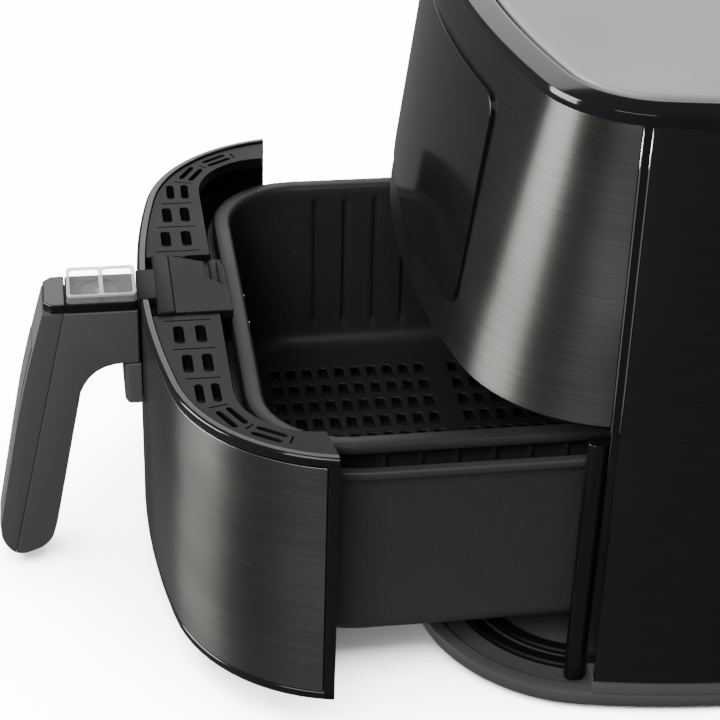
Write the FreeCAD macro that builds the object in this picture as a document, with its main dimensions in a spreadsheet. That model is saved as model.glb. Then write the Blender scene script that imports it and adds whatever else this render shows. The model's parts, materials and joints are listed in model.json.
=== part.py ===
"""Basket air fryer with its drawer pulled part way out. Millimetres, +Z up, front towards -Y.

The origin is the centre of the housing's footprint, on the surface that the feet stand on.
Every size is a named cell of the "Sizes" sheet. The drawer is drawn where it rests when it is
pulled out by drawer_open; closing it moves it by that much along +Y.
"""
import FreeCAD, Part
import Sketcher
import math
import os

V = FreeCAD.Vector
doc = FreeCAD.newDocument("air_fryer")
sheet = doc.addObject("Spreadsheet::Sheet", "Sizes")

SIZES = {
    # housing outline
    "half_width": 153, "back_reach": 150, "bow_radius": 424, "corner_radius": 78,
    "foot_front": 163, "crown_front": 131, "foot_corner": 90, "crown_corner": 48,
    "crown_half_width": 150.5, "crown_back": 148,
    "seam_y": 82.5, "strip_width": 4.2, "wall": 2.4, "skin": 1.0, "gap": 0.4,
    # heights above the table
    "foot_height": 3, "tray_top": 10.6, "side_bottom": 17.6, "mouth_top": 145,
    "crown": 279, "rim_side": 4.5, "rim_rise": 2.4, "rim_slope": 8, "lid_thick": 2.6,
    "lip_height": 3, "lip_draft": 3,
    # touch panel
    "panel_width": 152, "panel_bottom": 167, "panel_top": 262, "panel_proud": 1.6,
    "panel_corner": 9,
    # feet and base
    "foot_radius": 9, "foot_x": 112, "foot_y": 112, "ridge_height": 2.5,
    # drawer
    "drawer_open": 111.5, "front_reach": 154.7, "end_gap": 1, "front_bottom": 17.5,
    "front_top": 142, "border": 4.5, "front_wall": 4, "wing_thin": 14, "cover_thick": 6,
    "cover_width": 33, "cover_end": 22,
    # pan
    "pan_half": 123, "pan_top": 121.5, "pan_bottom": 30, "pan_wall": 1.2, "pan_draft": 4,
    "pan_corner": 46, "pan_rim": 3.6, "pan_length": 225, "pan_edge": 10,
    # basket
    "basket_half": 113, "basket_top": 129, "basket_floor": 40, "basket_wall": 1.4,
    "basket_draft": 4, "basket_corner": 36, "basket_rim": 5, "basket_length": 214,
    "basket_inset": 5.5, "hole_x": 9.4, "hole_y": 4.6, "pitch_x": 15.2, "pitch_y": 8.9,
    # handle
    "grip_width": 27, "arm_top": 136.5, "arm_bottom": 109, "fairing_bottom": 88, "grip_reach": 114,
    "grip_foot": 6, "grip_lean": 25.5, "grip_thick": 25, "cap_thick": 4.6,
    "guard_length": 31, "guard_thick": 4, "button_radius": 8.5,
    # heater and fan
    "chamber_top": 148, "hood_radius": 108, "hood_height": 30, "coil_radius": 82,
    "tube_radius": 3.4, "fan_radius": 62, "shaft_radius": 3, "motor_radius": 30,
    "motor_height": 36, "cooler_radius": 46, "shaft_gap": 0.05,
    # fasteners
    "post_width": 7, "post_depth": 9, "post_x": 132.2, "post_top": 134.5,
    "screw_radius": 1.6, "screw_head": 3.2, "screw_length": 9,
}
for row, (alias, value) in enumerate(SIZES.items(), start=1):
    sheet.set("A%d" % row, alias)
    sheet.set("B%d" % row, str(value))
    sheet.setAlias("B%d" % row, alias)
doc.recompute()


def size(alias):
    """The number in the sheet's cell of that name."""
    return float(sheet.get(alias))


NODES = []


def keep(obj, label):
    """Make obj one of the assembly's nodes."""
    obj.Label = label
    NODES.append(obj)
    return obj


def bind(obj, **expressions):
    """Bind properties of obj to formulas in the sheet's cells."""
    for name, formula in expressions.items():
        words = formula
        for alias in sorted(SIZES, key=len, reverse=True):
            words = words.replace("$" + alias + ";", "Sizes." + alias)
        obj.setExpression(name.replace("__", "."), words)
    return obj


def solid(label, shape):
    """A node whose shape is built by this script from the sheet's sizes."""
    obj = doc.addObject("Part::Feature", label)
    obj.Shape = shape
    return keep(obj, label)


def hidden(kind, name, **expressions):
    """A primitive or a boolean that feeds another object."""
    return bind(doc.addObject(kind, name), **expressions)


def plane_of(body, role):
    return [part for part in body.Origin.OriginFeatures if part.Role == role][0]


def block(label, width, depth, height, at, edge=None):
    """A PartDesign block with its base centred on the point at, and rounded uprights."""
    body = doc.addObject("PartDesign::Body", label)
    sketch = body.newObject("Sketcher::SketchObject", label + "_sketch")
    sketch.AttachmentSupport = (plane_of(body, "XY_Plane"), [""])
    sketch.MapMode = "FlatFace"
    corners = [V(-1, -1, 0), V(1, -1, 0), V(1, 1, 0), V(-1, 1, 0)]
    for i in range(4):
        sketch.addGeometry(Part.LineSegment(corners[i], corners[(i + 1) % 4]), False)
    for i in range(4):
        sketch.addConstraint(Sketcher.Constraint("Coincident", i, 2, (i + 1) % 4, 1))
        sketch.addConstraint(Sketcher.Constraint("Vertical" if i % 2 else "Horizontal", i))
    sketch.addConstraint(Sketcher.Constraint("Symmetric", 0, 1, 2, 1, -1, 1))
    across = sketch.addConstraint(Sketcher.Constraint("DistanceX", 0, 1, 0, 2, 2.0))
    deep = sketch.addConstraint(Sketcher.Constraint("DistanceY", 1, 1, 1, 2, 2.0))
    bind(sketch, **{"Constraints[%d]" % across: width, "Constraints[%d]" % deep: depth})
    pad = body.newObject("PartDesign::Pad", label + "_pad")
    pad.Profile = sketch
    bind(pad, Length=height)
    if edge:
        doc.recompute()
        uprights = ["Edge%d" % (i + 1) for i, e in enumerate(pad.Shape.Edges)
                    if abs(e.Vertexes[0].Z - e.Vertexes[-1].Z) > 1e-3]
        round_off = body.newObject("PartDesign::Fillet", label + "_rounding")
        round_off.Base = (pad, uprights)
        bind(round_off, Radius=edge)
    for axis, formula in zip("xyz", at):
        bind(body, **{"Placement__Base__" + axis: formula})
    return body


def turned(label, points, at):
    """A PartDesign revolution about Z of a closed outline of (radius, height) formulas."""
    body = doc.addObject("PartDesign::Body", label)
    sketch = body.newObject("Sketcher::SketchObject", label + "_sketch")
    sketch.AttachmentSupport = (plane_of(body, "XZ_Plane"), [""])
    sketch.MapMode = "FlatFace"
    count = len(points)
    start = [V(1 + i, i * i + 1, 0) for i in range(count)]
    for i in range(count):
        sketch.addGeometry(Part.LineSegment(start[i], start[(i + 1) % count]), False)
    rules = {}
    for i in range(count):
        sketch.addConstraint(Sketcher.Constraint("Coincident", i, 2, (i + 1) % count, 1))
    for i, (radius, height) in enumerate(points):
        for kind, formula in (("DistanceX", radius), ("DistanceY", height)):
            if formula == "0":
                axis = -2 if kind == "DistanceX" else -1
                sketch.addConstraint(Sketcher.Constraint("PointOnObject", i, 1, axis))
            else:
                number = sketch.addConstraint(Sketcher.Constraint(kind, -1, 1, i, 1, 1.0))
                rules["Constraints[%d]" % number] = formula
    bind(sketch, **rules)
    turn = body.newObject("PartDesign::Revolution", label + "_turn")
    turn.Profile = sketch
    turn.ReferenceAxis = (sketch, ["V_Axis"])
    turn.Angle = 360
    for axis, formula in zip("xyz", at):
        bind(body, **{"Placement__Base__" + axis: formula})
    return body


def seat(holder, fastener):
    """Cut the seats of the named fasteners out of the part that holds them."""
    parts = {obj.Label: obj for obj in NODES}
    parts[holder].Shape = parts[holder].Shape.cut(parts[fastener].Shape)


def screw_group(label, places, turn=None):
    """Round-headed screws, all made from one turned profile, at the places given."""
    screw = turned(label + "_screw", [
        ("0", "0"), ("$screw_head;", "0"), ("$screw_head;", "$screw_head; * 0.5"),
        ("$screw_radius;", "$screw_head; * 0.5"), ("$screw_radius;", "$screw_length;"),
        ("0", "$screw_length;")], ("0", "0", "0"))
    doc.recompute()
    copies = []
    for x, y, z in places:
        copy = screw.Shape.copy()
        if turn:
            copy.rotate(V(0, 0, 0), turn[0], turn[1])
        copy.translate(V(x, y, z))
        copies.append(copy)
    return solid(label, Part.makeCompound(copies))


# ---------------------------------------------------------------- outline helpers

def corner_circle(side_centre, side_radius, front_centre, front_radius, corner):
    """Centre of the corner arc that touches a side arc and a front arc from inside."""
    d1 = side_radius - corner
    d2 = front_radius - corner
    span = front_centre - side_centre
    dist = span.Length
    along = (d1 * d1 - d2 * d2 + dist * dist) / (2 * dist)
    off = math.sqrt(d1 * d1 - along * along)
    unit = span / dist
    normal = V(unit.y, -unit.x, 0)
    first = side_centre + unit * along + normal * off
    second = side_centre + unit * along - normal * off
    return first if first.x > second.x else second


def outline(half, front, back, bow, corner, z):
    """Closed wire of a rounded square whose four sides bow outwards.

    front and back are the distances of its front and back from the origin.
    """
    arcs = []
    right = V(half - bow, 0, 0)
    for sign, reach in ((-1, front), (1, back)):
        end = V(0, sign * (reach - bow), 0)
        centre = corner_circle(right, bow, end, bow, corner)
        if centre.y * sign < 0:
            centre = V(centre.x, -centre.y, 0)
        side_dir = (centre - right).normalize()
        end_dir = (centre - end).normalize()
        mid_dir = (side_dir + end_dir).normalize()
        arcs.append((centre + side_dir * corner, centre + mid_dir * corner,
                     centre + end_dir * corner, V(0, sign * reach, 0)))
    (fs, fm, fe, fa), (bs, bm, be, ba) = arcs
    flip = lambda p: V(-p.x, p.y, p.z)
    lift = lambda p: V(p.x, p.y, z)
    rows = [(fs, fm, fe), (fe, fa, flip(fe)), (flip(fe), flip(fm), flip(fs)),
            (flip(fs), V(-half, 0, 0), flip(bs)), (flip(bs), flip(bm), flip(be)),
            (flip(be), ba, be), (be, bm, bs), (bs, V(half, 0, 0), fs)]
    edges = [Part.Arc(lift(a), lift(b), lift(c)).toShape() for a, b, c in rows]
    return Part.Wire(edges)


def prism(wire, height):
    return Part.Face(wire).extrude(V(0, 0, height))


def loft(low, high):
    return Part.makeLoft([low, high], True, True)


def box(x0, x1, y0, y1, z0, z1):
    """A block between two corners, given as ranges."""
    return Part.makeBox(x1 - x0, y1 - y0, z1 - z0, V(x0, y0, z0))


def fuse(shapes):
    whole = shapes[0]
    for shape in shapes[1:]:
        whole = whole.fuse(shape)
    return whole.removeSplitter()


def tube_z(radius, height, x, y, z):
    return Part.makeCylinder(radius, height, V(x, y, z))


HALF = size("half_width")
BACK = size("back_reach")
BOW = size("bow_radius")
CORNER = size("corner_radius")
SEAM = -size("seam_y")
WALL = size("wall")
GAP = size("gap")
LOW = size("side_bottom")
MOUTH = size("mouth_top")
CROWN = size("crown")
FAR = 400.0


def shell_outline(inset, z):
    """The housing's outer surface at height z, moved inwards by inset."""
    t = (z - LOW) / (CROWN - LOW)
    mix = lambda a, b: a + (b - a) * t
    return outline(mix(HALF, size("crown_half_width")) - inset,
                   mix(size("foot_front"), size("crown_front")) - inset,
                   mix(BACK, size("crown_back")) - inset,
                   BOW - inset, mix(size("foot_corner"), size("crown_corner")) - inset, z)


def shell_solid(inset, z0, z1):
    return loft(shell_outline(inset, z0), shell_outline(inset, z1))


def base_outline(inset, z):
    """The outline shared by the base and the closed drawer front."""
    return outline(HALF - inset, size("front_reach") - inset, BACK - inset,
                   BOW - inset, CORNER - inset, z)


# ---------------------------------------------------------------- base and feet

def make_base():
    low = size("foot_height") - 0.5
    top = size("tray_top")
    tray = loft(base_outline(1.5, low), base_outline(0, low + 3))
    tray = tray.fuse(prism(base_outline(0, low + 3), top - low - 3))
    pocket = prism(base_outline(7, top - 2), 3)
    tray = tray.cut(pocket).removeSplitter()
    solid("base_tray", tray)
    ridge = prism(base_outline(17, top - 2), size("ridge_height"))
    ridge = ridge.cut(prism(base_outline(24, top - 2), size("ridge_height")))
    ridge = ridge.common(box(-FAR, FAR, -FAR, SEAM, 0, FAR))
    solid("floor_ridge", ridge)
    collar = loft(base_outline(0, top), base_outline(1.6, LOW))
    collar = collar.cut(prism(base_outline(12, top), LOW - top))
    collar = collar.common(box(-FAR, FAR, SEAM, FAR, 0, FAR))
    solid("base_collar", collar)


def make_feet():
    """Rubber feet at the corners and one pad in the middle, bound to the sheet."""
    shapes = []
    for i, (sx, sy) in enumerate(((1, -1), (-1, -1), (1, 1), (-1, 1), (0, 0))):
        foot = hidden("Part::Cone", "foot_%d" % i, Radius1="$foot_radius; - 1",
                      Radius2="$foot_radius;", Height="$foot_height; - 0.5",
                      Placement__Base__x="%d * $foot_x;" % sx,
                      Placement__Base__y="%d * $foot_y;" % sy)
        shapes.append(foot)
    group = doc.addObject("Part::Compound", "rubber_feet")
    group.Links = shapes
    keep(group, "rubber_feet")


# ---------------------------------------------------------------- housing shells

def make_shells():
    skin = size("skin")
    full = shell_solid(0, LOW, CROWN)
    inner = shell_solid(WALL, LOW, CROWN)
    wall = full.cut(inner)
    side = wall.common(box(-FAR, FAR, SEAM, FAR, LOW, CROWN))
    vent = fuse([box(-48 + 8 * i, -44 + 8 * i, BACK - 30, FAR, 178, 218) for i in range(13)])
    side = side.cut(vent)
    side = side.cut(Part.makeCylinder(8, 60, V(95, BACK - 40, 40), V(0, 1, 0)))
    solid("side_shell", side)
    strip = SEAM - size("strip_width")
    front = box(-FAR, FAR, -FAR, strip, MOUTH, CROWN)
    lip_top = MOUTH + size("lip_height")
    wrap = full.cut(shell_solid(skin, LOW, CROWN))
    wrap = wrap.common(box(-FAR, FAR, -FAR, strip, lip_top, CROWN))
    half = size("panel_width") / 2 + GAP
    opening = box(-half, half, -FAR, SEAM, size("panel_bottom") - GAP, size("panel_top") + GAP)
    solid("steel_wrap", wrap.cut(opening))
    backing = shell_solid(skin + 0.05, LOW, CROWN).cut(shell_solid(skin + WALL, LOW, CROWN))
    backing = backing.common(box(-FAR, FAR, -FAR, strip, lip_top, CROWN))
    half -= 6
    window = box(-half, half, -FAR, SEAM, size("panel_bottom") + 6, size("panel_top") - 6)
    solid("wrap_backing", backing.cut(window))
    strips = full.cut(shell_solid(WALL + skin, LOW, CROWN))
    strips = strips.common(box(-FAR, FAR, strip + 0.2, SEAM - 0.2, MOUTH, CROWN))
    solid("seam_strips", strips)
    lean = loft(shell_outline(size("lip_draft"), MOUTH), shell_outline(0, lip_top))
    lip = lean.cut(shell_solid(skin + WALL + 3, LOW, CROWN))
    lip = lip.common(box(-FAR, FAR, -FAR, strip, MOUTH, lip_top))
    solid("mouth_lip", lip)


def make_panel():
    half = size("panel_width") / 2
    proud = size("panel_proud")
    low, high = size("panel_bottom"), size("panel_top")
    plate = shell_solid(-proud, LOW, CROWN).cut(shell_solid(size("skin") + 0.1, LOW, CROWN))
    cutter = box(-half, half, -FAR, SEAM, low, high)
    edges = [e for e in cutter.Edges if abs(e.Vertexes[0].Y - e.Vertexes[-1].Y) > 1]
    cutter = cutter.makeFillet(size("panel_corner"), edges)
    plate = plate.common(cutter)
    inner = shell_solid(size("skin") - 0.2, LOW, CROWN)
    solid("touch_panel", plate.cut(inner))
    lean = math.degrees(math.atan((size("foot_front") - size("crown_front")) / (CROWN - LOW)))
    board = hidden("Part::Box", "control_board", Length="$panel_width; - 24", Width="1.6",
                   Height="$panel_top; - $panel_bottom; - 24")
    board.Placement = FreeCAD.Placement(
        V(-half + 12, -size("crown_front") - 2.5, low + 12),
        FreeCAD.Rotation(V(1, 0, 0), -lean))
    keep(board, "control_board")


def make_crown():
    side, rise = size("rim_side"), size("rim_rise")
    slope = size("rim_slope")
    top = CROWN + side + rise
    rim = prism(shell_outline(-0.4, CROWN), side)
    upper = loft(shell_outline(-0.4, CROWN + side), shell_outline(slope, top))
    rim = rim.fuse(upper)
    seat = slope + 1.2
    rim = rim.cut(prism(shell_outline(seat, CROWN - 1), side + rise + 2))
    rim = rim.removeSplitter()
    solid("top_rim", rim)
    thick = size("lid_thick")
    plate = prism(shell_outline(seat + 1.6, top - thick + 0.6), thick)
    top_edges = [e for e in plate.Edges if all(v.Z > top for v in e.Vertexes)]
    plate = plate.makeFillet(1.2, top_edges)
    solid("lid_plate", plate)
    deck = prism(shell_outline(seat + 0.3, CROWN), 2.0)
    solid("lid_tray", deck)


def make_posts():
    """The two upright trims that frame the drawer's mouth."""
    for side, name in ((1, "mouth_post_right"), (-1, "mouth_post_left")):
        post = block(name, "$post_width;", "$post_depth;", "$post_top; - $tray_top; - 0.2",
                     ("%d * $post_x;" % side, "-$seam_y; - $post_depth; / 2 - 0.6",
                      "$tray_top; + 0.1"), "3")
        keep(post, name)


# ---------------------------------------------------------------- drawer

END = SEAM - size("end_gap") - size("drawer_open")
PAN_FRONT = END - 31.0
PAN_BACK = PAN_FRONT + size("pan_length")
B_FRONT = PAN_FRONT + size("basket_inset")
B_BACK = B_FRONT + size("basket_length")
APEX = END - (size("front_reach") + SEAM - size("end_gap"))
SHIFT = V(0, -size("drawer_open"), 0)
BEHIND = box(-FAR, FAR, -FAR, SEAM - size("end_gap"), -10, FAR)


def front_band(outer_inset, inner_inset, z0, z1, end_cut=0.0):
    """A band of the drawer front's bowed wall, in its pulled-out place."""
    band = prism(base_outline(outer_inset, z0), z1 - z0)
    band = band.cut(prism(base_outline(inner_inset, z0), z1 - z0))
    band = band.common(BEHIND)
    if end_cut:
        band = band.common(box(-FAR, FAR, -FAR, SEAM - size("end_gap") - end_cut, -10, FAR))
    band.translate(SHIFT)
    return band


def cover_inner(z, grow=0.0):
    """Inner edge of the vent cover: a rounded opening round the basket."""
    half = HALF - 8 - size("cover_end") - grow
    front = END - (size("front_reach") + SEAM - size("cover_width")) + grow
    radius = 34.0
    y_end = END + 5
    right = V(half, front + radius, z)
    pts = [V(half, y_end, z), right, V(half - radius, front, z)]
    k = radius * (1 - math.sqrt(0.5))
    mid = V(half - k, front + k, z)
    flip = lambda p: V(-p.x, p.y, p.z)
    edges = [Part.LineSegment(pts[0], pts[1]).toShape(),
             Part.Arc(pts[1], mid, pts[2]).toShape(),
             Part.Arc(pts[2], V(0, front - 4, z), flip(pts[2])).toShape(),
             Part.Arc(flip(pts[2]), flip(mid), flip(pts[1])).toShape(),
             Part.LineSegment(flip(pts[1]), flip(pts[0])).toShape(),
             Part.LineSegment(flip(pts[0]), pts[0]).toShape()]
    return Part.Wire(edges)


def make_drawer_front():
    low, top = size("front_bottom"), size("front_top")
    border, wall = size("border"), size("front_wall")
    cover = size("cover_thick")
    outer = front_band(0, wall, low, top)
    recess = front_band(-5, 1.0, low + border, top - border)
    recess = recess.common(box(-FAR, FAR, -FAR, END - border, 0, FAR))
    outer = outer.cut(recess)
    floor = front_band(wall, wall + 12, low, low + 3, size("wing_thin"))
    outer = outer.fuse(floor).removeSplitter()
    outer = outer.cut(bridge_notch(0.4)).cut(latch_slot())
    solid("drawer_front", outer)
    skin = front_band(0.05, 0.95, low + border + 0.3, top - border - 0.3)
    skin = skin.common(box(-FAR, FAR, -FAR, END - border - 0.3, 0, FAR))
    skin = skin.cut(bridge_notch(0.6)).cut(latch_slot())
    solid("front_skin", skin)
    ties = []
    for side in (-1, 1):
        for z in (52, 96):
            tie = box(side * 70 - 9, side * 70 + 9, END - 80, PAN_FRONT + 4, z, z + 2)
            ties.append(tie)
    room = prism(base_outline(wall + 0.1, 10), 200).common(BEHIND)
    room.translate(SHIFT)
    clear = vessel(size("pan_half"), PAN_FRONT, PAN_BACK, size("pan_corner"),
                   size("pan_bottom"), size("pan_top"), size("pan_draft"), size("pan_wall"),
                   size("pan_edge"))[0]
    ties = [tie.common(room).cut(clear) for tie in ties]
    solid("pan_brackets", Part.makeCompound(ties))
    screw_group("drawer_screws", [(x, END - 40.0, z + 6.6) for x in (-70, 70)
                                  for z in (52, 96)], (V(1, 0, 0), 180))
    seat("pan_brackets", "drawer_screws")


def make_vent_cover():
    top = size("front_top")
    thick = size("cover_thick")
    wall = size("front_wall")
    z0 = top - thick
    plate = prism(base_outline(wall + 0.2, z0), thick - 1).common(BEHIND)
    plate.translate(SHIFT)
    plate = plate.cut(prism(cover_inner(z0 - 1), thick + 2))
    plate = plate.cut(box(-26.6, 26.6, -FAR, END + 5, z0 - 1, top + 1))
    slots = []
    centre = V(0, END + 12, 0)
    for angle in (24, 34, 44, 54, 64, 74):
        for radius in (0, 1):
            for side in (-1, 1):
                slots.append(vent_slot(angle * side, radius, z0))
    plate = plate.cut(fuse(slots))
    solid("vent_cover", plate)


def vent_slot(angle, row, z0):
    """One slot of the vent cover, on a ray from the basket's centre."""
    rad = math.radians(angle)
    reach = size("front_reach") + SEAM
    rx, ry = 118.0, reach - 16.0
    if row:
        rx, ry = rx + 10, ry + 9
    x = rx * math.sin(rad)
    y = END - ry * math.cos(rad) ** 0.8
    slot = box(-1.6, 1.6, -5, 5, z0 - 1, z0 + 8)
    slot = slot.makeFillet(1.5, [e for e in slot.Edges
                                 if abs(e.Vertexes[0].Z - e.Vertexes[-1].Z) > 5])
    tangent = math.degrees(math.atan2(ry * math.sin(rad), rx * math.cos(rad)))
    slot.rotate(V(0, 0, 0), V(0, 0, 1), 90 + tangent)
    slot.translate(V(x, y, 0))
    return slot


def tub(half_x, y0, y1, corner, z, inset=0.0):
    """Rounded rectangle wire at height z."""
    hx, a, b, r = half_x - inset, y0 + inset, y1 - inset, max(corner - inset, 1.0)
    k = r * (1 - math.sqrt(0.5))
    edges = []
    spots = [(hx, a + r, hx - k, a + k, hx - r, a), (-hx + r, a, -hx + k, a + k, -hx, a + r),
             (-hx, b - r, -hx + k, b - k, -hx + r, b), (hx - r, b, hx - k, b - k, hx, b - r)]
    for i, (ax, ay, mx, my, cx, cy) in enumerate(spots):
        nx, ny = spots[(i + 1) % 4][:2]
        edges.append(Part.Arc(V(ax, ay, z), V(mx, my, z), V(cx, cy, z)).toShape())
        edges.append(Part.LineSegment(V(cx, cy, z), V(nx, ny, z)).toShape())
    return Part.Wire(edges)


def vessel(half, y0, y1, corner, z0, z1, draft, wall, edge):
    """An open pressed tub with drafted walls and a rounded bottom edge."""
    outer = loft(tub(half, y0, y1, corner, z0, draft), tub(half, y0, y1, corner, z1))
    inner = loft(tub(half, y0, y1, corner, z0 + wall, draft + wall),
                 tub(half, y0, y1, corner, z1 + wall, wall))
    bottom = [e for e in outer.Edges if all(abs(v.Z - z0) < 0.01 for v in e.Vertexes)]
    outer = outer.makeFillet(edge, bottom)
    floor = z0 + wall
    bottom = [e for e in inner.Edges if all(abs(v.Z - floor) < 0.01 for v in e.Vertexes)]
    inner = inner.makeFillet(edge - wall, bottom)
    return outer, inner


def make_pan():
    half, wall, rim = size("pan_half"), size("pan_wall"), size("pan_rim")
    top, bottom = size("pan_top"), size("pan_bottom")
    corner = size("pan_corner")
    outer, inner = vessel(half, PAN_FRONT, PAN_BACK, corner, bottom, top,
                          size("pan_draft"), wall, size("pan_edge"))
    lip = prism(tub(half, PAN_FRONT, PAN_BACK, corner, top - rim, -rim), rim)
    whole = fuse([outer, lip]).cut(inner)
    solid("drawer_pan", whole)


def make_basket():
    half, wall, rim = size("basket_half"), size("basket_wall"), size("basket_rim")
    top, floor = size("basket_top"), size("basket_floor")
    corner = size("basket_corner")
    outer, inner = vessel(half, B_FRONT, B_BACK, corner, floor - wall, top,
                          size("basket_draft"), wall, 9)
    lip = prism(tub(half, B_FRONT, B_BACK, corner, top - 1.6, -rim), 1.6)
    whole = fuse([outer, lip]).cut(inner)
    px, py = size("pitch_x"), size("pitch_y")
    hx, hy = size("hole_x") / 2, size("hole_y") / 2
    middle = (B_FRONT + B_BACK) / 2
    holes = []
    for side in (-1, 1):
        for col in range(10):
            for row in range(11):
                x = (row - 5) * px
                y = middle + side * (10 + col * py)
                holes.append(box(x - hx, x + hx, y - hy, y + hy, floor - 5, floor + 5))
    holes = [h for h in holes if abs(h.BoundBox.Center.x) < half - 30]
    whole = whole.cut(Part.makeCompound(holes))
    solid("basket_shell", whole)


def make_bumpers():
    """Silicone pads that centre the basket in the pan."""
    pads = []
    y_mid = (B_FRONT + B_BACK) / 2
    for sx in (-1, 1):
        for dy in (-70, 70):
            pad = box(115.6, 118.9, y_mid + dy - 6, y_mid + dy + 6, 100, 116)
            if sx < 0:
                pad = pad.mirror(V(0, 0, 0), V(1, 0, 0))
            pads.append(pad)
    solid("basket_bumpers", Part.makeCompound(pads))


# ---------------------------------------------------------------- handle

def grip_profile(inset, x):
    """Side view of the handle: arm, arch and leaning grip, in the plane at x."""
    reach = END - size("grip_reach")
    top, under = size("arm_top") - inset, size("arm_bottom") + inset
    foot = size("grip_foot") + inset
    lean, thick = size("grip_lean"), size("grip_thick")
    back = APEX - 1.0
    out_top = V(x, reach + inset, top)
    out_low = V(x, reach - lean + inset * 1.2, foot + 16)
    heel = V(x, reach - lean + 3.2 + inset * 1.2, foot + 4)
    toe = V(x, reach - lean + 11, foot)
    cuff = V(x, reach - lean + thick - 2 - inset, foot + 10)
    inner = V(x, reach + thick - 10.0 - inset, under - 12)
    arch_mid = V(x, reach + thick - 5.5 - inset, under - 4)
    arch = V(x, reach + thick + 3, under)
    arm_back = V(x, back, under)
    arm_top = V(x, back, top)
    edges = [Part.LineSegment(out_top, out_low).toShape(),
             Part.Arc(out_low, heel, toe).toShape(),
             Part.LineSegment(toe, cuff).toShape(),
             Part.LineSegment(cuff, inner).toShape(),
             Part.Arc(inner, arch_mid, arch).toShape(),
             Part.LineSegment(arch, arm_back).toShape(),
             Part.LineSegment(arm_back, arm_top).toShape(),
             Part.LineSegment(arm_top, out_top).toShape()]
    return Part.Wire(edges)


def latch_slot():
    """The way of the latch through the arm's end, the steel skin and the drawer front."""
    return box(-6, 6, END - 74, END - 60, PIVOT_Z - 8.5, PIVOT_Z + 5.5)


def bridge_notch(grow):
    """Where the handle's bridge crosses the top of the drawer front."""
    top = size("front_top")
    return box(-26 - grow, 26 + grow, APEX - 2, END, top - 5 - grow, top + 5)


def make_handle():
    half = size("grip_width") / 2
    body = Part.Face(grip_profile(0, -half)).extrude(V(2 * half, 0, 0))
    bay = box(-9.5, 9.5, END - 104, END - 73, size("arm_bottom") + 4, size("arm_top") + 1)
    hollow = Part.Face(grip_profile(4, -9.5)).extrude(V(19, 0, 0))
    slot = latch_slot()
    groove = Part.Face(grip_profile(2.2, -half - 1)).extrude(V(2 * half + 2, 0, 0))
    strip_box = box(-half + 4, half - 4, -FAR, END - 100, 20, 118)
    strip = body.cut(groove).common(strip_box)
    strip = strip.common(box(-FAR, FAR, -FAR, END - 108, 0, FAR))
    solid("grip_strip", strip)
    body = body.cut(strip)
    left = body.common(box(-half, 0, -FAR, FAR, 0, FAR)).cut(hollow).cut(bay).cut(slot)
    right = body.common(box(0, half, -FAR, FAR, 0, FAR)).cut(hollow).cut(bay).cut(slot)
    solid("handle_left_shell", left)
    solid("handle_right_shell", right)
    core = Part.Face(grip_profile(4.4, -9.1)).extrude(V(18.2, 0, 0))
    core = core.cut(box(-20, 20, END - 105, END - 60, 0, FAR))
    solid("grip_core", core)


RIVET_Z = size("pan_top") + 2.9


def make_fairing():
    """Foot of the arm that runs down the drawer front."""
    half = size("grip_width") / 2
    low, top = size("fairing_bottom"), size("arm_bottom") - 0.1
    foot = box(-half, half, APEX - 8, APEX - 0.1, low, top)
    edge = [e for e in foot.Edges
            if all(abs(v.Y - APEX + 8) < 0.01 and abs(v.Z - low) < 0.01 for v in e.Vertexes)]
    solid("handle_fairing", foot.makeFillet(6, edge))


def make_bridge():
    """Bracket that carries the handle across the vent cover to the basket."""
    top = size("front_top")
    plate = box(-26, 26, APEX + 0.3, B_FRONT - 5.4, top - 4.8, top + 0.5)
    neck = box(-13, 13, END - 71.8, APEX + 1, size("arm_top") + 0.1, top + 0.5)
    tab = box(-20, 20, B_FRONT - 8.5, B_FRONT - 5.4, size("pan_top") + 0.6, top - 4)
    whole = fuse([plate, neck, tab])
    rivets = []
    for side in (-1, 1):
        shank = Part.makeCylinder(1.5, 6.9, V(side * 12, B_FRONT - 5.2, RIVET_Z), V(0, 1, 0))
        head = Part.makeCylinder(2.6, 1.2, V(side * 12, B_FRONT + 1.7, RIVET_Z), V(0, 1, 0))
        rivets.append(fuse([shank, head]))
    solid("handle_bridge", whole)
    solid("bridge_rivets", Part.makeCompound(rivets))
    seat("basket_shell", "bridge_rivets")


def make_cap():
    cap = block("handle_cap", "$grip_width; - 1", "9.5", "$cap_thick; - 0.1",
                ("0", "%.6f - $grip_reach; + 5.4" % END, "$arm_top; + 0.1"), "2.5")
    keep(cap, "handle_cap")


BUTTON_Y = END - 88.5
PIVOT_Y = END - 76.0
PIVOT_Z = size("arm_top") - 17.0


def spring(radius, wire_radius, height, turns, at):
    """A compression coil about Z, bent from short straight lengths of wire."""
    steps = 12
    count = int(turns * steps)
    points = []
    for i in range(count + 1):
        angle = 2 * math.pi * i / steps
        points.append(at + V(radius * math.cos(angle), radius * math.sin(angle),
                             height * i / count))
    ring = Part.Circle(points[0], (points[1] - points[0]).normalize(), wire_radius)
    rim = [ring.value(2 * math.pi * (i % 8) / 8) for i in range(9)]
    return Part.makePolygon(points).makePipeShell([Part.makePolygon(rim)], True, False, 1)


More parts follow.
